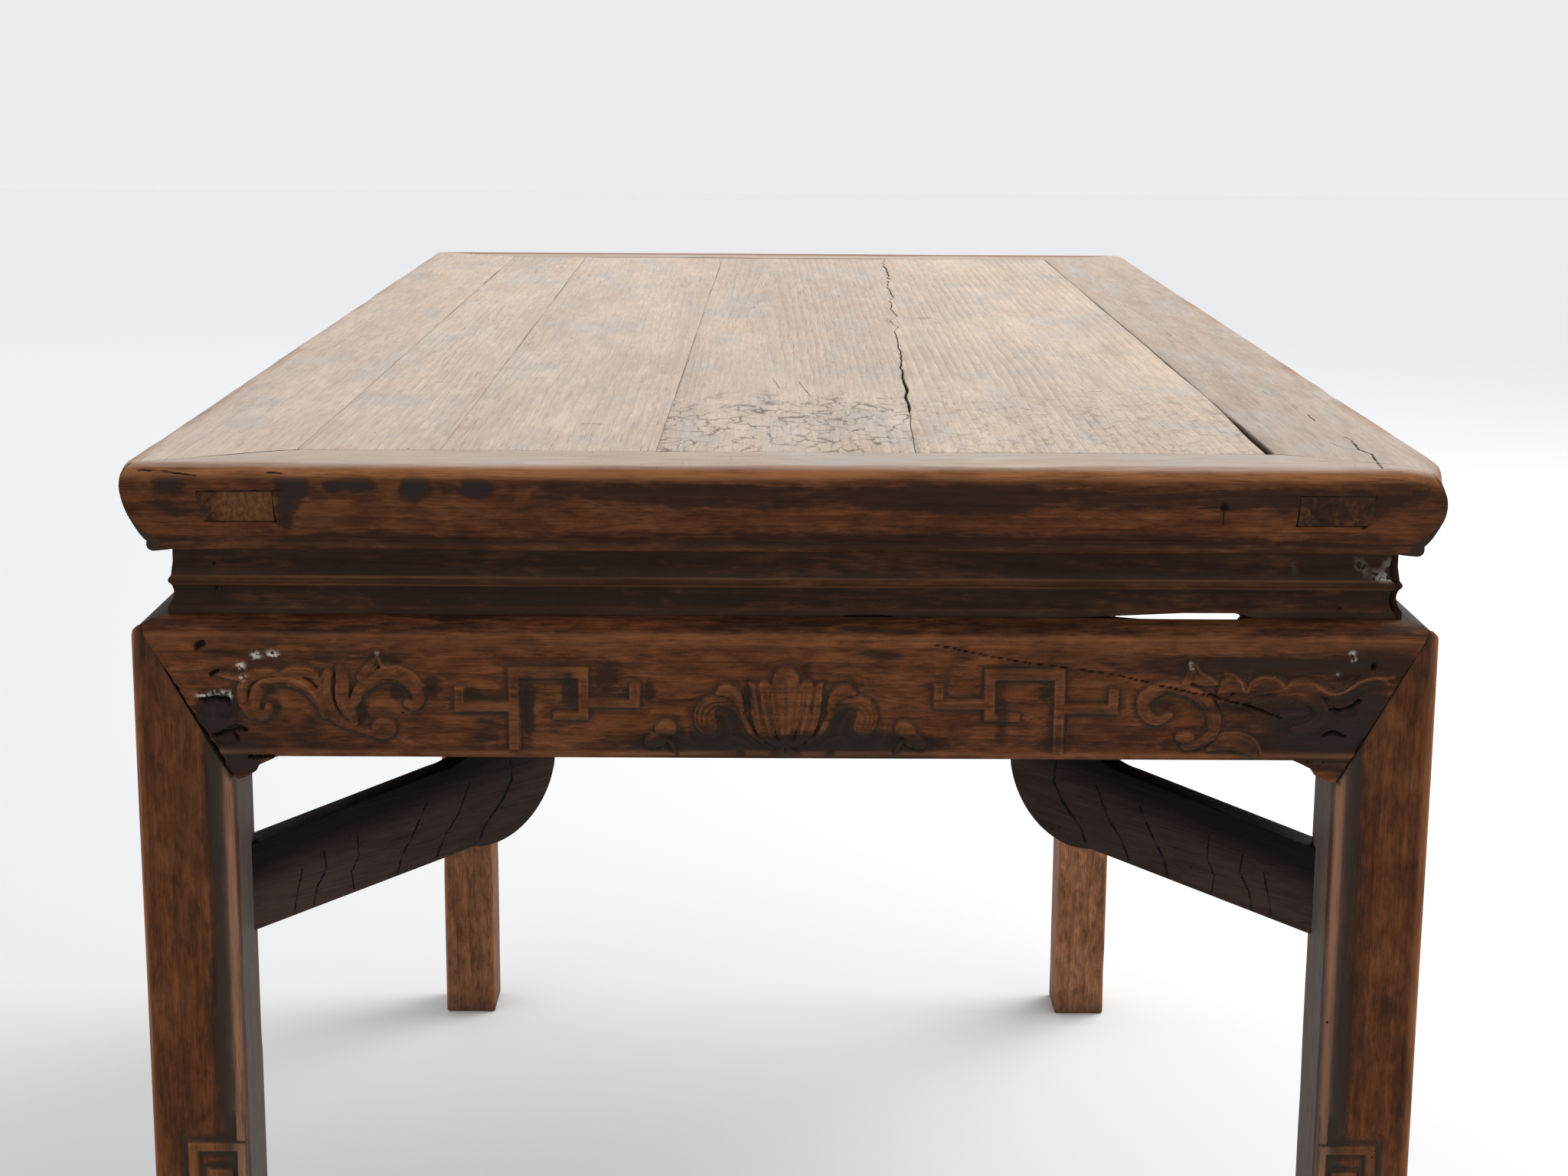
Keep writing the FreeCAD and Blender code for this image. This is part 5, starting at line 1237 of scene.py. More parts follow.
def make_boards():
    """The four boards, with shrinkage gaps, one ragged joint and a gap at the right rail."""
    settings = sizes()
    gap = settings.joint_gap / MM
    half = TOP_HALF_LENGTH - RAIL_SHORT - 0.3
    places = stations(half, settings.length_step / MM * 1.2)
    names = ("left", "centre_left", "centre_right", "right")
    for number, name in enumerate(names):
        node = f"top_board_{name}"
        near, far = board_loops(node)
        top_edge = near[:, 1] > TABLE_HEIGHT - 0.01
        loop = []
        for index in range(len(near)):
            after = (index + 1) % len(near)
            run = np.hypot(*(near[after] - near[index]))
            if top_edge[index] and top_edge[after]:
                ends = [place / run for place in (0.3, 0.8, 1.8)]
                shares = [0.0] + ends + list(
                    np.linspace(ends[-1], 1 - ends[-1], int(run / 7.0))[1:-1])
                shares += [1 - share for share in ends[::-1]]
            else:
                count = max(1, int(run / 12.0))
                shares = [number / count for number in range(count)]
            loop += [(index, after, share) for share in shares]
        first, second, share = (np.array(column) for column in zip(*loop))
        share = share[:, None]
        near_ring = near[first] * (1 - share) + near[second] * share
        far_ring = far[first] * (1 - share) + far[second] * share
        part = ((places + 500.0) / 1000.0)[:, None, None]
        rings = near_ring[None] * (1 - part) + far_ring[None] * part
        x, z = rings[..., 0], rings[..., 1]
        y = np.broadcast_to(places[:, None], x.shape)
        on_top = z > TABLE_HEIGHT - 0.01
        lefts = np.where(on_top, x, 1e3).min(axis=1, keepdims=True)
        rights = np.where(on_top, x, -1e3).max(axis=1, keepdims=True)
        open_left = np.full(places.shape, gap * 0.5)
        open_right = np.full(places.shape, gap * 0.5)
        ragged = 2.6 * ripple(places, 38.0, 91) + 1.3 * ripple(places, 9.0, 92)
        ragged *= eased(places, -560, -420) * (0.4 + 0.6 * eased(places, -300, 0))
        width = np.interp(places, (-560, -440, -425, -330, -290, -190, 0, 480, 560),
                          (0.2, 0.3, 1.8, 2.1, 1.1, 0.9, 0.5, 0.8, 0.3))
        if name == "right":
            open_left = open_left + width * 0.5 + ragged
            open_right = open_right + settings.panel_gap / MM * (
                eased(-places, 330, 545) ** 1.5) + 0.5 * np.clip(ripple(places, 90.0, 95), 0, 1)
        if name == "centre_right":
            open_right = open_right + width * 0.5 - ragged
        from_left = np.clip(1 - (x - lefts) / 16.0, 0, 1)
        from_right = np.clip(1 - (rights - x) / 16.0, 0, 1)
        keep_out = (z > TABLE_HEIGHT - 5.2)
        x = x + keep_out * (from_left * open_left[:, None] - from_right * open_right[:, None])
        near_edge = np.minimum(x - (lefts + open_left[:, None]), (rights - open_right[:, None]) - x)
        closed = (0.15 + 0.85 * np.clip(0.35 + ripple(places, 85.0, 24 + number), 0, 1))[:, None]
        round_off = on_top * 0.45 * closed * np.clip(1 - near_edge / 1.3, 0, 1) ** 2
        ends = np.clip(1 - (half - np.abs(y)) / 2.2, 0, 1) ** 2 * 0.8
        wander = 0.25 * patches(x, y, 26.0, 180.0, 50 + number)
        lift = (0.0, -0.15, -0.35, -0.1)[number]
        z = z - on_top * (round_off + ends - wander + 0.35 - lift)
        deep = keep_out * np.maximum(eased(0.7 - near_edge, 0, 0.7), ends * 0.8)
        broken = closed * (0.55 + 0.6 * patches(x, y, 40.0, 35.0, 60 + number))
        grime_and_shade = np.where(on_top, np.clip(deep * broken, 0, 1), 0.7)
        grid = np.stack([x, y, z], axis=-1) * MM
        tanned = blots(x + 3 * patches(x, y, 9, 14, 5), y, BOARD_PATCHES)
        marks = {"bleach_and_sheen": np.clip(on_top - tanned, 0, 1), "grime_and_shade": grime_and_shade,
                 "wear_and_highlight": 0.2 * on_top,
                 "stain_and_shade": on_top * eased(-y, 300, 430) * (0, 0, 1, 0.45)[number]}
        build_piece(f"board_{name}", [(grid, marks, None)], board_elm(number),
                    [node])


def make_battens():
    """Battens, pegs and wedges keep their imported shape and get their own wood."""
    tint = colours()
    bare = timber("bare_elm", "across", tint.raw, tint.dark, tint.worn, stain_and_shade=0.45,
                  shift=(0.5, 0.2, 0.1), ring=0.008, rough=0.7)
    peg = timber("peg_wood", "along", tint.raw, tint.dark, tint.worn, stain_and_shade=0.35,
                 shift=(0.1, 0.4, 0.2), ring=0.003, rough=0.6)
    for name in ("batten_front", "batten_middle", "batten_rear"):
        set_wood(name, bare)
    for name in ("brace_pins", "brace_wedges"):
        set_wood(name, peg)


def set_wood(node, material):
    """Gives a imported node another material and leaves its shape."""
    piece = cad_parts[node]
    piece.data.materials.clear()
    piece.data.materials.append(material)


# The waist

def moulding_tree():
    """Geometry nodes that sweep an outline along a line and mitre both ends."""
    tree = bpy.data.node_groups.new("mitred_moulding", "GeometryNodeTree")
    tree.is_modifier = True
    face = tree.interface
    face.new_socket(name="Outline", in_out="INPUT", socket_type="NodeSocketGeometry")
    for label, value in (("Half Length", 0.365), ("Spacing", 0.006), ("Drift", 0.0002),
                         ("Left Gap", 0.0), ("Right Gap", 0.0)):
        socket = face.new_socket(name=label, in_out="INPUT", socket_type="NodeSocketFloat")
        socket.default_value = value
    seed = face.new_socket(name="Seed", in_out="INPUT", socket_type="NodeSocketInt")
    seed.default_value = 1
    face.new_socket(name="Wood", in_out="INPUT", socket_type="NodeSocketMaterial")
    face.new_socket(name="Moulding", in_out="OUTPUT", socket_type="NodeSocketGeometry")
    source, sink = tree.nodes.new("NodeGroupInput"), tree.nodes.new("NodeGroupOutput")
    half = source.outputs["Half Length"]
    start = new_node(tree, "ShaderNodeCombineXYZ", {0: times(tree, half, -1.0)})
    end = new_node(tree, "ShaderNodeCombineXYZ", {0: half})
    line = new_node(tree, "GeometryNodeCurvePrimitiveLine", {
        "Start": start.outputs[0], "End": end.outputs[0]})
    run = new_node(tree, "GeometryNodeResampleCurve", {
        "Curve": line.outputs[0], "Length": source.outputs["Spacing"]}, mode="LENGTH")
    upright = new_node(tree, "GeometryNodeSetCurveNormal", {"Curve": run.outputs[0]})
    upright.mode = "Z_UP"
    outline = new_node(tree, "GeometryNodeMeshToCurve", {"Mesh": source.outputs["Outline"]})
    swept = new_node(tree, "GeometryNodeCurveToMesh", {
        "Curve": upright.outputs[0], "Profile Curve": outline.outputs[0], "Fill Caps": True})
    spot = tree.nodes.new("GeometryNodeInputPosition").outputs[0]
    parts = new_node(tree, "ShaderNodeSeparateXYZ", {0: spot}).outputs
    share = sum_of(tree, "DIVIDE", parts[1], half)
    along = times(tree, parts[0], sum_of(tree, "SUBTRACT", 1.0, share))
    leftwards = sum_of(tree, "DIVIDE", sum_of(tree, "SUBTRACT", half, parts[0]), 2.0)
    leftwards = sum_of(tree, "DIVIDE", leftwards, half)
    shrunk = times(tree, leftwards, source.outputs["Left Gap"])
    along = sum_of(tree, "ADD", along, shrunk)
    rightwards = sum_of(tree, "SUBTRACT", 1.0, leftwards)
    shrunk = times(tree, rightwards, source.outputs["Right Gap"])
    along = sum_of(tree, "SUBTRACT", along, shrunk)
    noise = new_node(tree, "ShaderNodeTexNoise", {
        "W": source.outputs["Seed"], "Scale": 1.0, "Detail": 2.0,
        "Vector": vector_math(tree, "MULTIPLY", spot, (9, 90, 90))}, noise_dimensions="4D")
    wander = times(tree, noise.outputs["Fac"], source.outputs["Drift"])
    inward = sum_of(tree, "ADD", parts[1], wander)
    placed = new_node(tree, "ShaderNodeCombineXYZ", {0: along, 1: inward, 2: parts[2]})
    moved = new_node(tree, "GeometryNodeSetPosition", {
        "Geometry": swept.outputs[0], "Position": placed.outputs[0]})
    real = new_node(tree, "GeometryNodeRealizeInstances", {"Geometry": moved.outputs[0]})
    dressed = new_node(tree, "GeometryNodeSetMaterial", {
        "Geometry": real.outputs[0], "Material": source.outputs["Wood"]})
    tree.links.new(dressed.outputs[0], sink.inputs[0])
    return tree


def swept_moulding(name, tree, section, values):
    """Runs the moulding tree on an outline and gives the result as a plain mesh."""
    holder = bpy.data.meshes.new(f"{name}_outline")
    count = len(section)
    holder.from_pydata([(-inward * MM, -up * MM, 0.0) for inward, up in section],
                       [(k, (k + 1) % count) for k in range(count)], [])
    piece = shown(f"{name}_holder", holder)
    modifier = piece.modifiers.new("moulding", "NODES")
    modifier.node_group = tree
    for item in tree.interface.items_tree:
        if item.item_type == "SOCKET" and item.in_out == "INPUT" and item.name in values:
            modifier[item.identifier] = values[item.name]
    bpy.context.view_layer.update()
    ready = piece.evaluated_get(bpy.context.evaluated_depsgraph_get())
    mesh = bpy.data.meshes.new_from_object(ready)
    piece.modifiers.remove(modifier)
    bpy.data.objects.remove(piece)
    return mesh


def slit_shape(along, taper, end):
    """How open the slit under the front waist board is: its long part and its fine part."""
    start, close = SLIT_SPAN
    wide = np.clip((along - start) / taper, 0, 1) * (1 - eased(along, end, close))
    return wide, eased(along, 28, 40) * (1 - eased(along, 52, 64))


def make_waist():
    """The four moulded boards of the waist, swept along their lines."""
    settings = sizes()
    tree = moulding_tree()
    outline = outline_of("waist_front", 0, 20.0)
    outline = np.stack([outline[:, 0] + HALF_LENGTH, outline[:, 1]], axis=1)
    section, wear_and_highlight, grime_and_shade = rubbed(outline, 0.45, turn=0.16)
    section, wear_and_highlight, grime_and_shade = with_levels(
        section, wear_and_highlight, grime_and_shade, [WAIST_FOOT + up for up in (15.8, 16.8, 17.8, 20.2, 21.2, 22.2)], 21)
    for name, half, seed in (("front", HALF_WIDTH, 3), ("rear", HALF_WIDTH, 5),
                             ("left", HALF_LENGTH, 7), ("right", HALF_LENGTH, 9)):
        wood = dark_elm("waist", "across" if name in ("front", "rear") else "along")
        mesh = swept_moulding(f"waist_{name}", tree, section, {
            "Half Length": half * MM, "Spacing": settings.length_step,
            "Drift": settings.surface_drift * 1.6, "Seed": seed, "Wood": wood,
            "Left Gap": settings.joint_gap,
            "Right Gap": 0.0032 if name == "front" else settings.joint_gap})
        mesh.name = f"waist_board_{name}"
        spots = np.empty(len(mesh.vertices) * 3)
        mesh.vertices.foreach_get("co", spots)
        spots = spots.reshape(-1, 3) / MM
        along, inward, up = spots.T
        if not (WAIST_FOOT - 6 < up.min() and up.max() < FRAME_UNDER + 6 and inward.min() > 0):
            raise RuntimeError(f"the moulding of {name} stands wrong")
        flat = np.stack([inward, up], axis=1)
        nearest_point = ((flat[:, None, :] - section[None]) ** 2).sum(axis=2).argmin(axis=1)
        worn, grimy_and_shaded = wear_and_highlight[nearest_point], grime_and_shade[nearest_point]
        if name == "front":
            slit, fine_slit = slit_shape(along, 60, 257)
            along = along - eased(along, 316, 336) * (0.9 + 1.5 * ripple(up, 2.4, 6))
            lift = np.maximum(slit, 0.4 * fine_slit) * settings.slit_height / MM
            up = up + lift * eased(WAIST_FOOT + 6 - up, 0, 5)
            up = np.where((slit > 0.02) & (up < WAIST_FOOT + 0.5), WAIST_FOOT + lift, up)
        worn = worn * 0.12
        for line in (16.8, 21.2):
            thin = np.exp(-((up - WAIST_FOOT - line) / 0.5) ** 2) * (inward < 22)
            worn = np.maximum(worn, thin * (0.75 + 0.25 * ripple(along, 60, seed)))
        foot = 1.3 * eased(WAIST_FOOT + 6 - up, 0, 4)
        head = eased(up - (FRAME_UNDER - 5), 0, 5)
        grimy_and_shaded = np.clip(grimy_and_shaded * 0.5 + 0.5 * foot + 0.5 * head, 0, 1)
        paint = blots(along, up, WAIST_PAINT) * (name == "front") * (inward < 22)
        spots = side_of(name, along, inward, up, HALF_WIDTH, HALF_LENGTH)
        mesh.vertices.foreach_set("co", spots.reshape(-1))
        put_marks(mesh, {"wear_and_highlight": worn * 0.85, "grime_and_shade": grimy_and_shaded, "paint": paint})
        with opened(mesh) as shape:
            bmesh.ops.recalc_face_normals(shape, faces=shape.faces)
        smoothed(mesh, 50)
        hang(shown(f"waist_board_{name}", mesh), wood, [f"waist_{name}"])


# The aprons

def seam_in(height):
    """How far the shoulder seam lies from the corner at a height above the apron's foot."""
    return SEAM_TOP + (ARRIS_HEIGHT - APRON_FOOT - height) * SEAM_SLOPE


def spandrel_edge(outward):
    """Height of the apron's lower edge near a leg, from the cusped bracket."""
    marks = np.array([(0.0, 0.0), (6.0, -2.7), (11.5, -5.6), (12.6, -8.4), (18.0, -11.3),
                      (22.0, -12.8), (25.0, -13.5)])
    return np.interp(outward, marks[:, 0], marks[:, 1])


def apron_bands(half):
    """The carving of an apron: scrolls in the corners, frets, and a palmette in the middle."""
    palmette = HALF_PALMETTE + flipped(HALF_PALMETTE) + MIDDLE_FLUTE
    veins = HALF_PALMETTE_VEINS + flipped(HALF_PALMETTE_VEINS) + MIDDLE_VEIN
    fret = tuple((a - FRET_MIDDLE, b - FRET_MIDDLE, c, d) for a, b, c, d in LEFT_FRET)
    mirror = tuple((-b, -a, c, d) for a, b, c, d in fret)

    def bars_at(bars, place):
        return tuple((a + place, b + place, c, d) for a, b, c, d in bars)

    if half < HALF_LENGTH:
        bands = LEFT_SCROLL + RIGHT_SCROLL + palmette
        return (bands, bars_at(fret, -133) + bars_at(mirror, 134),
                LEFT_VEINS + RIGHT_VEINS + veins)
    out = half - HALF_WIDTH
    bands = shifted(LEFT_SCROLL, -out) + shifted(flipped(LEFT_SCROLL), out) + palmette
    veins = veins + shifted(LEFT_VEINS, -out) + shifted(flipped(LEFT_VEINS), out)
    bars = bars_at(fret, -133 - out) + bars_at(mirror, 133 + out)
    bars += bars_at(fret, -133) + bars_at(mirror, 133)
    small = HALF_PALMETTE[:5] + flipped(HALF_PALMETTE[:5]) + MIDDLE_FLUTE
    for move in (-265, 265):
        bands += shifted(small, move)
        veins += shifted(HALF_PALMETTE_VEINS + flipped(HALF_PALMETTE_VEINS) + MIDDLE_VEIN,
                         move)
    return bands, bars, veins


def make_apron(name, half, seed, cracks=(), chips=()):
    """One carved apron, as a lattice of points over its face, its shoulder and its back."""
    settings = sizes()
    step = settings.carving_step / MM * (1.0 if half < HALF_LENGTH else 1.4)
    outline = outline_of(f"apron_{name}", 0 if half < HALF_LENGTH else 1, 20.0)
    outer = HALF_LENGTH if half < HALF_LENGTH else HALF_WIDTH
    inward = outer - np.abs(outline[:, 0])
    heights = outline[:, 1] - APRON_FOOT
    fronts = inward < 17.7
    order = heights[fronts].argsort()
    base_up, base_in = heights[fronts][order], inward[fronts][order]
    inner = half - LEG_SIDE
    bend_from = inner - 62.0
    foot = np.concatenate([
        np.arange(0, bend_from, step), np.arange(bend_from, inner - 1.4, step * 0.72),
        [inner - 1.2, inner - 0.7, inner - 0.3, inner]])
    foot = np.concatenate([-foot[:0:-1], foot])
    outward = np.clip(np.abs(foot) - (inner - SPANDREL_REACH), 0, SPANDREL_REACH)
    low = spandrel_edge(outward)
    foot_end = half - seam_in(low)
    reach = np.clip((np.abs(foot) - bend_from) / (foot_end - bend_from), 0, 1)
    face = ARRIS_HEIGHT - APRON_FOOT
    rows = int(face / step) + 1
    shares = np.linspace(0, 1, rows)
    up = low[:, None] + shares[None, :] * (face - low)[:, None]
    arc = base_up > face - 0.01
    arc_in_all, arc_up_all = base_in[arc], base_up[arc]
    order = arc_in_all.argsort()
    arc_in = np.linspace(0, 17.6, 9)[1:]
    arc_up = np.interp(arc_in, arc_in_all[order], arc_up_all[order])
    up = np.concatenate([up, np.broadcast_to(arc_up, (len(foot), 8))], axis=1)
    flat = base_up <= face + 0.01
    depth = np.interp(np.clip(up, 0, face), base_up[flat], base_in[flat])
    depth[:, rows:] = arc_in
    depth = np.where(up < 0, 0.8, depth)
    tail_up = np.stack([np.full(len(foot), face + 8.0), np.full(len(foot), face + 7.6),
                        np.full(len(foot), face * 0.5), low + 0.6, low], axis=1)
    tail_in = np.broadcast_to([20.0, APRON_THICK, APRON_THICK, APRON_THICK, APRON_THICK - 0.6],
                              tail_up.shape)
    depth = np.concatenate([depth, tail_in], axis=1)
    up = np.concatenate([up, tail_up], axis=1)
    ends = half - np.maximum(seam_in(up), np.where(up > face, depth, 0)) - 0.04
    back = depth > 18
    ends = np.where(back, np.minimum(ends, half - depth), ends)
    if cracks:
        deep = face - up
        left_gap = np.interp(deep, [0, 17, 24, 40, 60, 84], [0.0, 0.1, 1.2, 1.9, 2.1, 2.0])
        right_gap = np.interp(deep, [0, 42, 48, 60, 66, 74, 84],
                              [0.0, 0.1, 0.6, 0.5, 0.2, 0.7, 0.7])
        opened = np.where((foot < 0)[:, None], left_gap, right_gap)
        ends = ends - opened * (1 + 0.6 * ripple(deep, 3.0, seed + 5)) * ~back
    x = np.where(reach[:, None] > 0,
                 np.sign(foot)[:, None] * (bend_from + reach[:, None] * (ends - bend_from)),
                 foot[:, None])
    bands, bars, veins = apron_bands(half)
    column = np.arange(up.shape[1])
    face_part = (column < rows) & (up > -1)
    height, edge, slit, relief = carved(x, face - up, bands, bars, veins, cracks, chips)
    in_field = eased(up, 1.5, 6.0) * eased(face - 2 - up, 0, 4)
    height = np.where(face_part, height * np.maximum(in_field, slit > 0.3), 0)
    relief = np.where(face_part, relief * in_field, 0)
    near_end = ends - np.abs(x)
    depth = depth - height
    drift = settings.surface_drift / MM
    outer_part = column < rows + 8
    depth = depth + outer_part * drift * (0.6 + 0.6 * patches(x, up, 110, 14, seed))
    joint = 0.2 + 0.8 * eased(face - up, 10, 24)
    depth = depth + outer_part * joint * 0.35 * np.clip(1 - near_end / 0.8, 0, 1) ** 2
    # A painted highlight, partly wear, along the upper edges of the carving: raised a little,
    # lighter, and kept free of dust.
    light = lines_near(x, face - up, LIT_AND_RUBBED_EDGES) * face_part if cracks else 0.0
    depth = depth - 0.25 * light
    arris = np.exp(-((up - face) / 1.3) ** 2) * outer_part
    depth = depth + arris * settings.arris_wear / MM * (0.5 + 0.4 * ripple(x, 40.0, seed + 1))
    rounded_foot = np.exp(-((up - low[:, None]) / 0.8) ** 2) * outer_part
    depth = depth + rounded_foot * 0.5
    depth = np.maximum(depth, -1.4)
    fine = relief - blurred(relief, 6)
    # Painted light from above: where the relief turns upward it gets a painted highlight through the
    # wear mark, where it turns downward a painted shade through the grime mark.
    tilt = np.gradient(blurred(relief, 5), axis=1) / step
    painted_highlight_up, painted_shade_down = np.clip(-tilt - 0.08, 0, 1), np.clip(tilt - 0.08, 0, 1)
    # Dust and painted shade in the sunk ground: darker where carving encloses it, along a thin line
    # beside each carved edge, and in fine hollows.
    enclosed_dust_and_shade = eased(blurred((edge < 0).astype(float), 36), 0.12, 0.55) * (edge > 0)
    uneven = np.clip(0.5 + 0.9 * patches(x, up, 11, 8, seed + 9), 0, 1)
    line = np.exp(-((edge - 0.6) / 0.8) ** 2) * (0.2 + 0.8 * uneven)
    grime_and_shade = np.clip(enclosed_dust_and_shade * (0.35 + 0.6 * uneven) + 0.2 * line + 0.6 * painted_shade_down
                    + np.clip(-fine * 0.9, 0, 0.7), 0, 0.95) * (1 - 0.7 * painted_highlight_up)
    grime_and_shade = np.maximum(grime_and_shade * face_part, slit)
    grime_and_shade = np.clip(grime_and_shade * outer_part + eased(0.9 - near_end, 0, 0.8) * 0.3 * joint, 0, 1)
    wear_and_highlight = np.clip(fine * 0.35, 0, 0.4) * (1 - painted_shade_down)
    uneven = np.clip(0.5 + 0.9 * patches(x, up, 9, 9, seed + 11), 0, 1)
    wear_and_highlight = np.maximum(wear_and_highlight, (0.25 + 0.6 * uneven) * painted_highlight_up * (edge < 0.8))
    wear_and_highlight = np.maximum(wear_and_highlight, 0.42 * np.clip(arris, 0, 1))
    wear_and_highlight = np.maximum(wear_and_highlight, 0.16 * np.exp(-((up - face + 3.4) / 2.8) ** 2) * outer_part)
    wear_and_highlight = np.maximum(wear_and_highlight, 0.5 * np.exp(-((up - 3.0) / 1.4) ** 2) * (up > 0))
    wear_and_highlight = wear_and_highlight * (1 - slit) * (0.85 + 0.35 * ripple(x, 33.0, seed + 2)) * outer_part
    stain_and_shade = 0.12 * np.exp(-((up - 9.9) / 3.6) ** 2) + 0.22 * (up > face + 1.5)
    paint = blots(x, face - up, PAINT_FRONT) * face_part if cracks else 0.0
    if half < HALF_LENGTH:
        stain_and_shade = stain_and_shade + blots(x, face - up, APRON_STAINS_AND_SHADOW)
    else:
        stain_and_shade = stain_and_shade + 0.4 * eased(half - 60 - np.abs(x), 40, 0)
    wear_and_highlight = wear_and_highlight * (1 - 0.8 * np.clip(stain_and_shade * 1.8, 0, 1) * (edge < 0.5))
    wear_and_highlight = np.maximum(wear_and_highlight, light * 0.6)
    grime_and_shade = grime_and_shade * (1 - light)
    if cracks:
        slit, fine_slit = slit_shape(x, 50, 255)
        sunk = 4.0 * slit + 2.2 * fine_slit
        up = up - np.where((column >= rows + 8) & (up > face), sunk, 0)
        up = up - np.where(column == rows + 7, sunk * 0.12, 0)
    grid = side_of(name, x, depth, up + APRON_FOOT, HALF_WIDTH, HALF_LENGTH)
    marks = {"wear_and_highlight": wear_and_highlight, "grime_and_shade": grime_and_shade, "stain_and_shade": stain_and_shade, "paint": paint}
    grain = "across" if name in ("front", "rear") else "along"
    build_piece(f"carved_apron_{name}", [(grid, marks, None)], dark_elm("apron", grain),
                [f"apron_{name}"])


def make_aprons():
    make_apron("front", HALF_WIDTH, 61, CRACKS_FRONT, CHIPS_FRONT)
    make_apron("rear", HALF_WIDTH, 67)
    make_apron("left", HALF_LENGTH, 71)
    make_apron("right", HALF_LENGTH, 73)


# The legs

def make_leg(name, mirror_x, mirror_y, seed):
    """One leg from the floor to the frame, with its mitred shoulder, beads and frets."""
    settings = sizes()
    outline = outline_of("leg_front_left", 2, 300.0)
    outline = outline + np.array([HALF_WIDTH, HALF_LENGTH])
    base = filled_in(trimmed(turned_left(outline)), 1.1)
    section, wear_and_highlight, grime_and_shade = rubbed(base, 0.7, longest=1.3, turn=9.0)
    plain = np.arange(4.0, 600.0, 4.0)
    plain = plain[(plain < FRET_SPAN[0]) | (plain > FRET_SPAN[1])]
    heights = np.unique(np.round(np.concatenate([
        [0.0, 0.5, 1.2, 2.4], plain, np.arange(*FRET_SPAN, 1.1), np.arange(600.0, 744.0, 2.0),
        [744.2, 745.2, 746.2, 747.0, 747.6]]), 2))
    x = np.broadcast_to(section[:, 0], (len(heights), len(section))).copy()
    y = np.broadcast_to(section[:, 1], x.shape).copy()
    z = np.broadcast_to(heights[:, None], x.shape).copy()
    on_front = (section[:, 1] < 3.0) & (section[:, 0] > 2.5)
    on_side = (section[:, 0] < 3.0) & (section[:, 1] > 2.5)
    worn = np.broadcast_to(wear_and_highlight, x.shape).copy()
    dirty = np.broadcast_to(grime_and_shade, x.shape).copy()
    for mask, run in ((on_front, x), (on_side, y)):
        place = run[:, mask]
        level = z[:, mask]
        height, edge, _, _ = carved(place, level, (), LEG_FRET, (), ())
        zone = eased(level, 373, 385) * (1 - eased(level, 453, 461))
        bead_zone = place > 38.0
        height = height * zone
        flat = zone * bead_zone
        if mask is on_front:
            y[:, mask] = y[:, mask] * (1 - flat) + 0.4 * flat - height
        else:
            x[:, mask] = x[:, mask] * (1 - flat) + 0.4 * flat - height
        fine = height - blurred(height, 10)
        worn[:, mask] = np.clip(worn[:, mask] * (place > 44) + fine * 0.45
                                + 0.05 * (edge < -0.2) * zone, 0, 1)
        dirty[:, mask] = np.clip(dirty[:, mask] - fine * 1.2
                                 + 0.6 * eased(3.5 - edge, 0, 3.0) * (edge > 0.2) * zone, 0, 1)
    drift = settings.surface_drift / MM
    wobble = drift * (0.6 + 0.6 * patches(z, x + y, 130, 18, seed))
    outer = np.clip(worn, 0, 1) * settings.arris_wear / MM * np.clip(ripple(z, 50.0, seed), 0, 1)
    x += np.where(x < 27, wobble + outer, -(wobble + outer))
    y += np.where(y < 27, wobble + outer, -(wobble + outer))
    above = z - APRON_FOOT
    limit = np.where(above > -SPANDREL_DROP, seam_in(above), 1e3) - 0.04
    cut = (x > limit) | (y > limit)
    close = np.minimum(np.abs(limit - x), np.abs(limit - y)) < 1.1
    x, y = np.minimum(x, limit), np.minimum(y, limit)
    nose_up = [743.0, 745.6, 747.2, 748.76, 750.2, 751.0]
    nose_in = [0.0, 1.6, 3.4, 7.04, 12.0, 17.6]
    nose = np.minimum(np.interp(z, nose_up, nose_in), limit - 0.05)
    x, y = np.maximum(x, nose), np.maximum(y, nose)
    soft = np.clip(1 - z / 2.2, 0, 1) ** 2 * 1.4
    x = x + np.where(x < 27, soft, -soft)
    y = y + np.where(y < 27, soft, -soft)
    in_seam = (above > -SPANDREL_DROP) & (cut | close)
    dirty = np.where(in_seam, 0.1 + 0.6 * eased(ARRIS_HEIGHT - z, 14, 26), dirty)
    dirty = np.clip(dirty + 0.55 * (1 - eased(z, 0, 26)), 0, 1)
    # Dust and painted shade in the hollow beside the bead.
    groove_dust_and_shade = np.exp(-((np.maximum(x, y) - 44.4) / 4.0) ** 2) * 0.55 * (np.minimum(x, y) < 4)
    dirty = np.clip(dirty + groove_dust_and_shade, 0, 1)
    worn = np.where(in_seam, 0.0, worn * (0.85 + 0.3 * ripple(z, 40.0, seed + 4)))
    px, py = (HALF_WIDTH - x) * mirror_x, (HALF_LENGTH - y) * mirror_y
    far, near = np.maximum(x, y), np.minimum(x, y)
    # The outer corner of the right legs gets more wear than the left: worn, and partly a painted
    # highlight, as if lit from the right.
    corner, bead = (0.25, 0.3) if mirror_x < 0 else (0.6, 0.12)
    worn = np.clip(worn + bead * (far > 49.5) * (near < 3) + corner * (1 - eased(far, 3, 7)), 0, 1)
    # Old stain and painted shade in the hollow beside the bead, fading out near the top, where the
    # whole leg is made a little darker instead.
    hollow_stain_and_shade = 0.45 * eased(far, 33, 42) * (1 - eased(far, 43, 46)) * (near < 6)
    hollow_stain_and_shade = hollow_stain_and_shade * (1 - eased(z, 650, 710)) + 0.25 * eased(z, 690, 735)
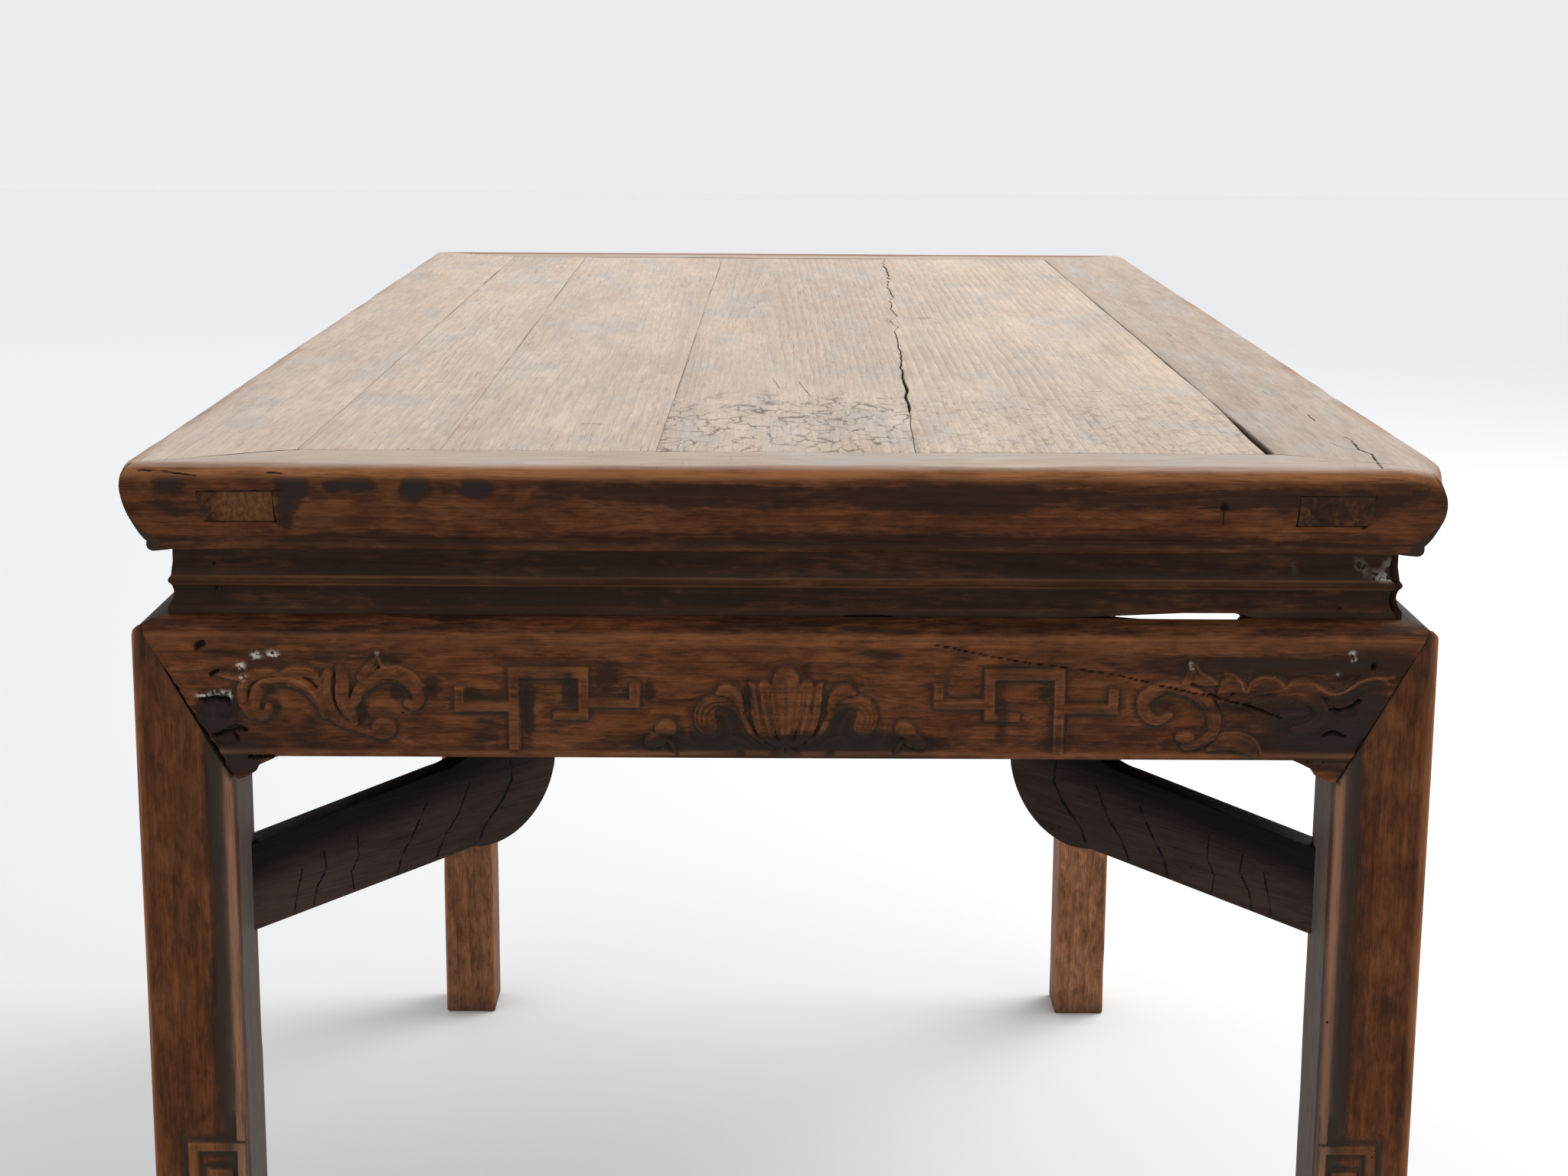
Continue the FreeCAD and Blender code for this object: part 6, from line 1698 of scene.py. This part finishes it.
    # Painted sheen: on the front legs the inner faces and the bead are turned grey, as if they
    # reflected the bright room.
    painted_sheen = (0.5 * (near > 12) + 0.25 * eased(far, 45, 48) * (near < 6)) * (mirror_y < 0)
    shaft = (np.stack([px, py, z], axis=-1) * MM,
             {"wear_and_highlight": worn, "grime_and_shade": dirty, "stain_and_shade": hollow_stain_and_shade, "bleach_and_sheen": painted_sheen}, None)
    corners = np.array([(30.3, 30.3), (53.6, 30.3), (53.6, 53.6), (30.3, 53.6)])
    levels = np.array([600.0, 680.0, 760.0, 788.8])
    post = np.stack([
        np.broadcast_to((HALF_WIDTH - corners[:, 0]) * mirror_x, (4, 4)),
        np.broadcast_to((HALF_LENGTH - corners[:, 1]) * mirror_y, (4, 4)),
        np.broadcast_to(levels[:, None], (4, 4))], axis=-1) * MM
    wood = dark_elm("leg" if mirror_y < 0 else name[4:], "upright")
    build_piece(name.replace("leg", "corner_leg"), [shaft, (post, {"grime_and_shade": 0.5}, None)],
                wood, [name], merge=2e-5)


def make_legs():
    make_leg("leg_front_left", -1, -1, 81)
    make_leg("leg_front_right", 1, -1, 83)
    make_leg("leg_rear_left", -1, 1, 85)
    make_leg("leg_rear_right", 1, 1, 87)


# The braces

ARM_CRACKS = (
    ("front", 0.4, ((291, 557), (290, 567), (287, 582))),
    ("front", 0.5, ((282, 557), (280, 568), (275, 578), (276, 590))),
    ("front", 0.4, ((261, 560), (262, 572), (258, 581), (259, 596))),
    ("front", 0.6, ((238, 562), (236, 572), (229, 585), (222, 602))),
    ("front", 0.6, ((217, 565), (213, 576), (204, 590), (198, 608))),
    ("front", 0.8, ((193, 568), (189, 578), (179, 591), (174, 602), (175, 616))),
)


def make_braces():
    """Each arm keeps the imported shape, with its arrises rubbed round."""
    tint = colours()
    for name in ("brace_front_left", "brace_front_right", "brace_rear_left", "brace_rear_right"):
        rising = name in ("brace_front_left", "brace_rear_right")
        # Each arm gets a painted shade over its upper part.
        wood = timber(f"brace_wood_{'rising' if rising else 'falling'}",
                      "arm_rising" if rising else "arm_falling", tint.brace,
                      tuple(part * 0.6 for part in tint.brace), (0.09, 0.056, 0.043), stain_and_shade=0.36,
                      shift=(0.3, 0.1, 0.2), ring=0.011, heart=0.05, rough=0.5, bump=0.6,
                      lines=ARM_CRACKS, shaded=((0.113, 0.113, 1.0), 0.680, 0.698))
        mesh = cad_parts[name].data.copy()
        mesh.name = f"giants_arm_{name[6:]}"
        with opened(mesh) as shape:
            bmesh.ops.remove_doubles(shape, verts=shape.verts, dist=1e-6)
            bmesh.ops.dissolve_limit(shape, angle_limit=math.radians(2.5), verts=shape.verts,
                                     edges=shape.edges)
        piece = shown(f"giants_arm_{name[6:]}", mesh)
        rub = piece.modifiers.new("rubbed arris", "BEVEL")
        rub.width = 0.0016
        rub.segments = 3
        rub.limit_method = "ANGLE"
        rub.angle_limit = math.radians(28)
        bpy.context.view_layer.update()
        ready = piece.evaluated_get(bpy.context.evaluated_depsgraph_get())
        finished = bpy.data.meshes.new_from_object(ready)
        bpy.data.objects.remove(piece)
        finished.name = f"giants_arm_{name[6:]}"
        mark_bends(finished)
        smoothed(finished, 35)
        hang(shown(finished.name, finished), wood, [name])


def mark_bends(mesh):
    """Marks as worn the points of a mesh where its faces turn outward."""
    with opened(mesh) as shape:
        layer = shape.verts.layers.float.new("wear_and_highlight")
        for vert in shape.verts:
            bends = [edge.calc_face_angle_signed(0.0) for edge in vert.link_edges]
            vert[layer] = min(1.0, max(0.0, max(bends, default=0.0) * 1.6))


# Floor, light and camera

def make_stage():
    """The pale floor and room, one soft light, and the camera."""
    tint = colours()
    size = 14.0
    mesh = bpy.data.meshes.new("studio_floor")
    mesh.from_pydata([(-size, -size, 0), (size, -size, 0), (size, size, 0), (-size, size, 0)],
                     [], [(0, 1, 2, 3)])
    material = bpy.data.materials.new("studio_floor")
    material.use_nodes = True
    shader = material.node_tree.nodes["Principled BSDF"]
    tree = material.node_tree
    place = new_node(tree, "ShaderNodeTexCoord").outputs["Object"]
    far = new_node(tree, "ShaderNodeMapRange", {
        "Value": vector_math(tree, "LENGTH", place), "From Min": 1.2, "From Max": 6.0},
        interpolation_type="SMOOTHSTEP")
    tree.links.new(mixed(tree, far.outputs[0], rgb(tint.floor), (0.97, 0.97, 0.97, 1)),
                   shader.inputs["Base Color"])
    shader.inputs["Roughness"].default_value = 0.75
    shader.inputs["Specular IOR Level"].default_value = 0.25
    mesh.materials.append(material)
    shown("studio_floor", mesh)

    world = bpy.data.worlds.new("studio")
    bpy.context.scene.world = world
    world.use_nodes = True
    sky = world.node_tree.nodes["Background"].inputs
    sky["Color"].default_value = (0.96, 0.97, 1.0, 1)
    sky["Strength"].default_value = 0.88
    bpy.context.scene.view_settings.view_transform = "Standard"
    lamp = bpy.data.lights.new("window", "AREA")
    lamp.size = 2.4
    lamp.energy = 108.0
    holder = shown("window", lamp)
    holder.location = (2.2, 1.6, 3.0)
    holder.rotation_euler = (math.radians(-24), math.radians(36), 0)

    camera = bpy.data.cameras.new("view_from_the_end")
    camera.sensor_width = 36.0
    camera.lens = 36.0 * FOCAL_PIXELS / PHOTO_WIDTH
    camera.shift_y = -0.07
    camera.clip_start, camera.clip_end = 0.05, 60.0
    holder = shown("view_from_the_end", camera)
    holder.rotation_mode = "XYZ"
    holder.location = (-0.0102, -1.9113, 1.0759)
    turn = Euler((math.radians(90 - 10.712), 0, 0)).to_matrix()
    yaw = Euler((0, 0, math.radians(-0.378))).to_matrix()
    roll = Euler((0, 0, math.radians(0.358))).to_matrix()
    holder.rotation_euler = (yaw @ turn @ roll).to_euler()
    bpy.context.scene.camera = holder


# Operators, one for each piece or group

class ALTARTABLE_OT_rails(bpy.types.Operator):
    """Build the four rails of the mitred top frame with their through tenons"""
    bl_idname = "altartable.rails"
    bl_label = "Top Rails"

    def execute(self, context):
        make_rails()
        return {"FINISHED"}


class ALTARTABLE_OT_boards(bpy.types.Operator):
    """Build the four boards of the floating panel"""
    bl_idname = "altartable.boards"
    bl_label = "Top Boards"

    def execute(self, context):
        make_boards()
        return {"FINISHED"}


class ALTARTABLE_OT_battens(bpy.types.Operator):
    """Give the battens, pegs and wedges under the top their wood"""
    bl_idname = "altartable.battens"
    bl_label = "Battens and Pegs"

    def execute(self, context):
        make_battens()
        return {"FINISHED"}


class ALTARTABLE_OT_waist(bpy.types.Operator):
    """Build the four moulded boards of the waist"""
    bl_idname = "altartable.waist"
    bl_label = "Waist Boards"

    def execute(self, context):
        make_waist()
        return {"FINISHED"}


class ALTARTABLE_OT_aprons(bpy.types.Operator):
    """Build the four carved aprons"""
    bl_idname = "altartable.aprons"
    bl_label = "Carved Aprons"

    def execute(self, context):
        make_aprons()
        return {"FINISHED"}


class ALTARTABLE_OT_legs(bpy.types.Operator):
    """Build the four corner legs with their beads and frets"""
    bl_idname = "altartable.legs"
    bl_label = "Corner Legs"

    def execute(self, context):
        make_legs()
        return {"FINISHED"}


class ALTARTABLE_OT_braces(bpy.types.Operator):
    """Build the four giant's-arm braces"""
    bl_idname = "altartable.braces"
    bl_label = "Braces"

    def execute(self, context):
        make_braces()
        return {"FINISHED"}


class ALTARTABLE_OT_stage(bpy.types.Operator):
    """Set up the floor, the soft light and the camera"""
    bl_idname = "altartable.stage"
    bl_label = "Studio"

    def execute(self, context):
        make_stage()
        return {"FINISHED"}


OPERATORS = (ALTARTABLE_OT_stage, ALTARTABLE_OT_rails, ALTARTABLE_OT_boards,
             ALTARTABLE_OT_battens, ALTARTABLE_OT_waist, ALTARTABLE_OT_aprons,
             ALTARTABLE_OT_legs, ALTARTABLE_OT_braces)


class ALTARTABLE_PT_panel(bpy.types.Panel):
    """The table's pieces and settings"""
    bl_idname = "ALTARTABLE_PT_panel"
    bl_label = "Altar Table"
    bl_space_type = "VIEW_3D"
    bl_region_type = "UI"
    bl_category = "Altar Table"

    def draw(self, context):
        for operator in OPERATORS:
            self.layout.operator(operator.bl_idname)
        for group in (context.scene.altar_table_sizes, context.scene.altar_table_colours):
            box = self.layout.box()
            for key in group.__annotations__:
                box.prop(group, key)


CLASSES = (TableSizes, TableColours) + OPERATORS + (ALTARTABLE_PT_panel,)


def register():
    for item in CLASSES:
        bpy.utils.register_class(item)
    bpy.types.Scene.altar_table_sizes = PointerProperty(type=TableSizes)
    bpy.types.Scene.altar_table_colours = PointerProperty(type=TableColours)


def unregister():
    del bpy.types.Scene.altar_table_colours
    del bpy.types.Scene.altar_table_sizes
    for item in reversed(CLASSES):
        bpy.utils.unregister_class(item)


def main():
    """Registers the add-on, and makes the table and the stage."""
    register()
    for operator in OPERATORS:
        group, action = operator.bl_idname.split(".")
        getattr(getattr(bpy.ops, group), action)()


if __name__ == "__main__":
    main()
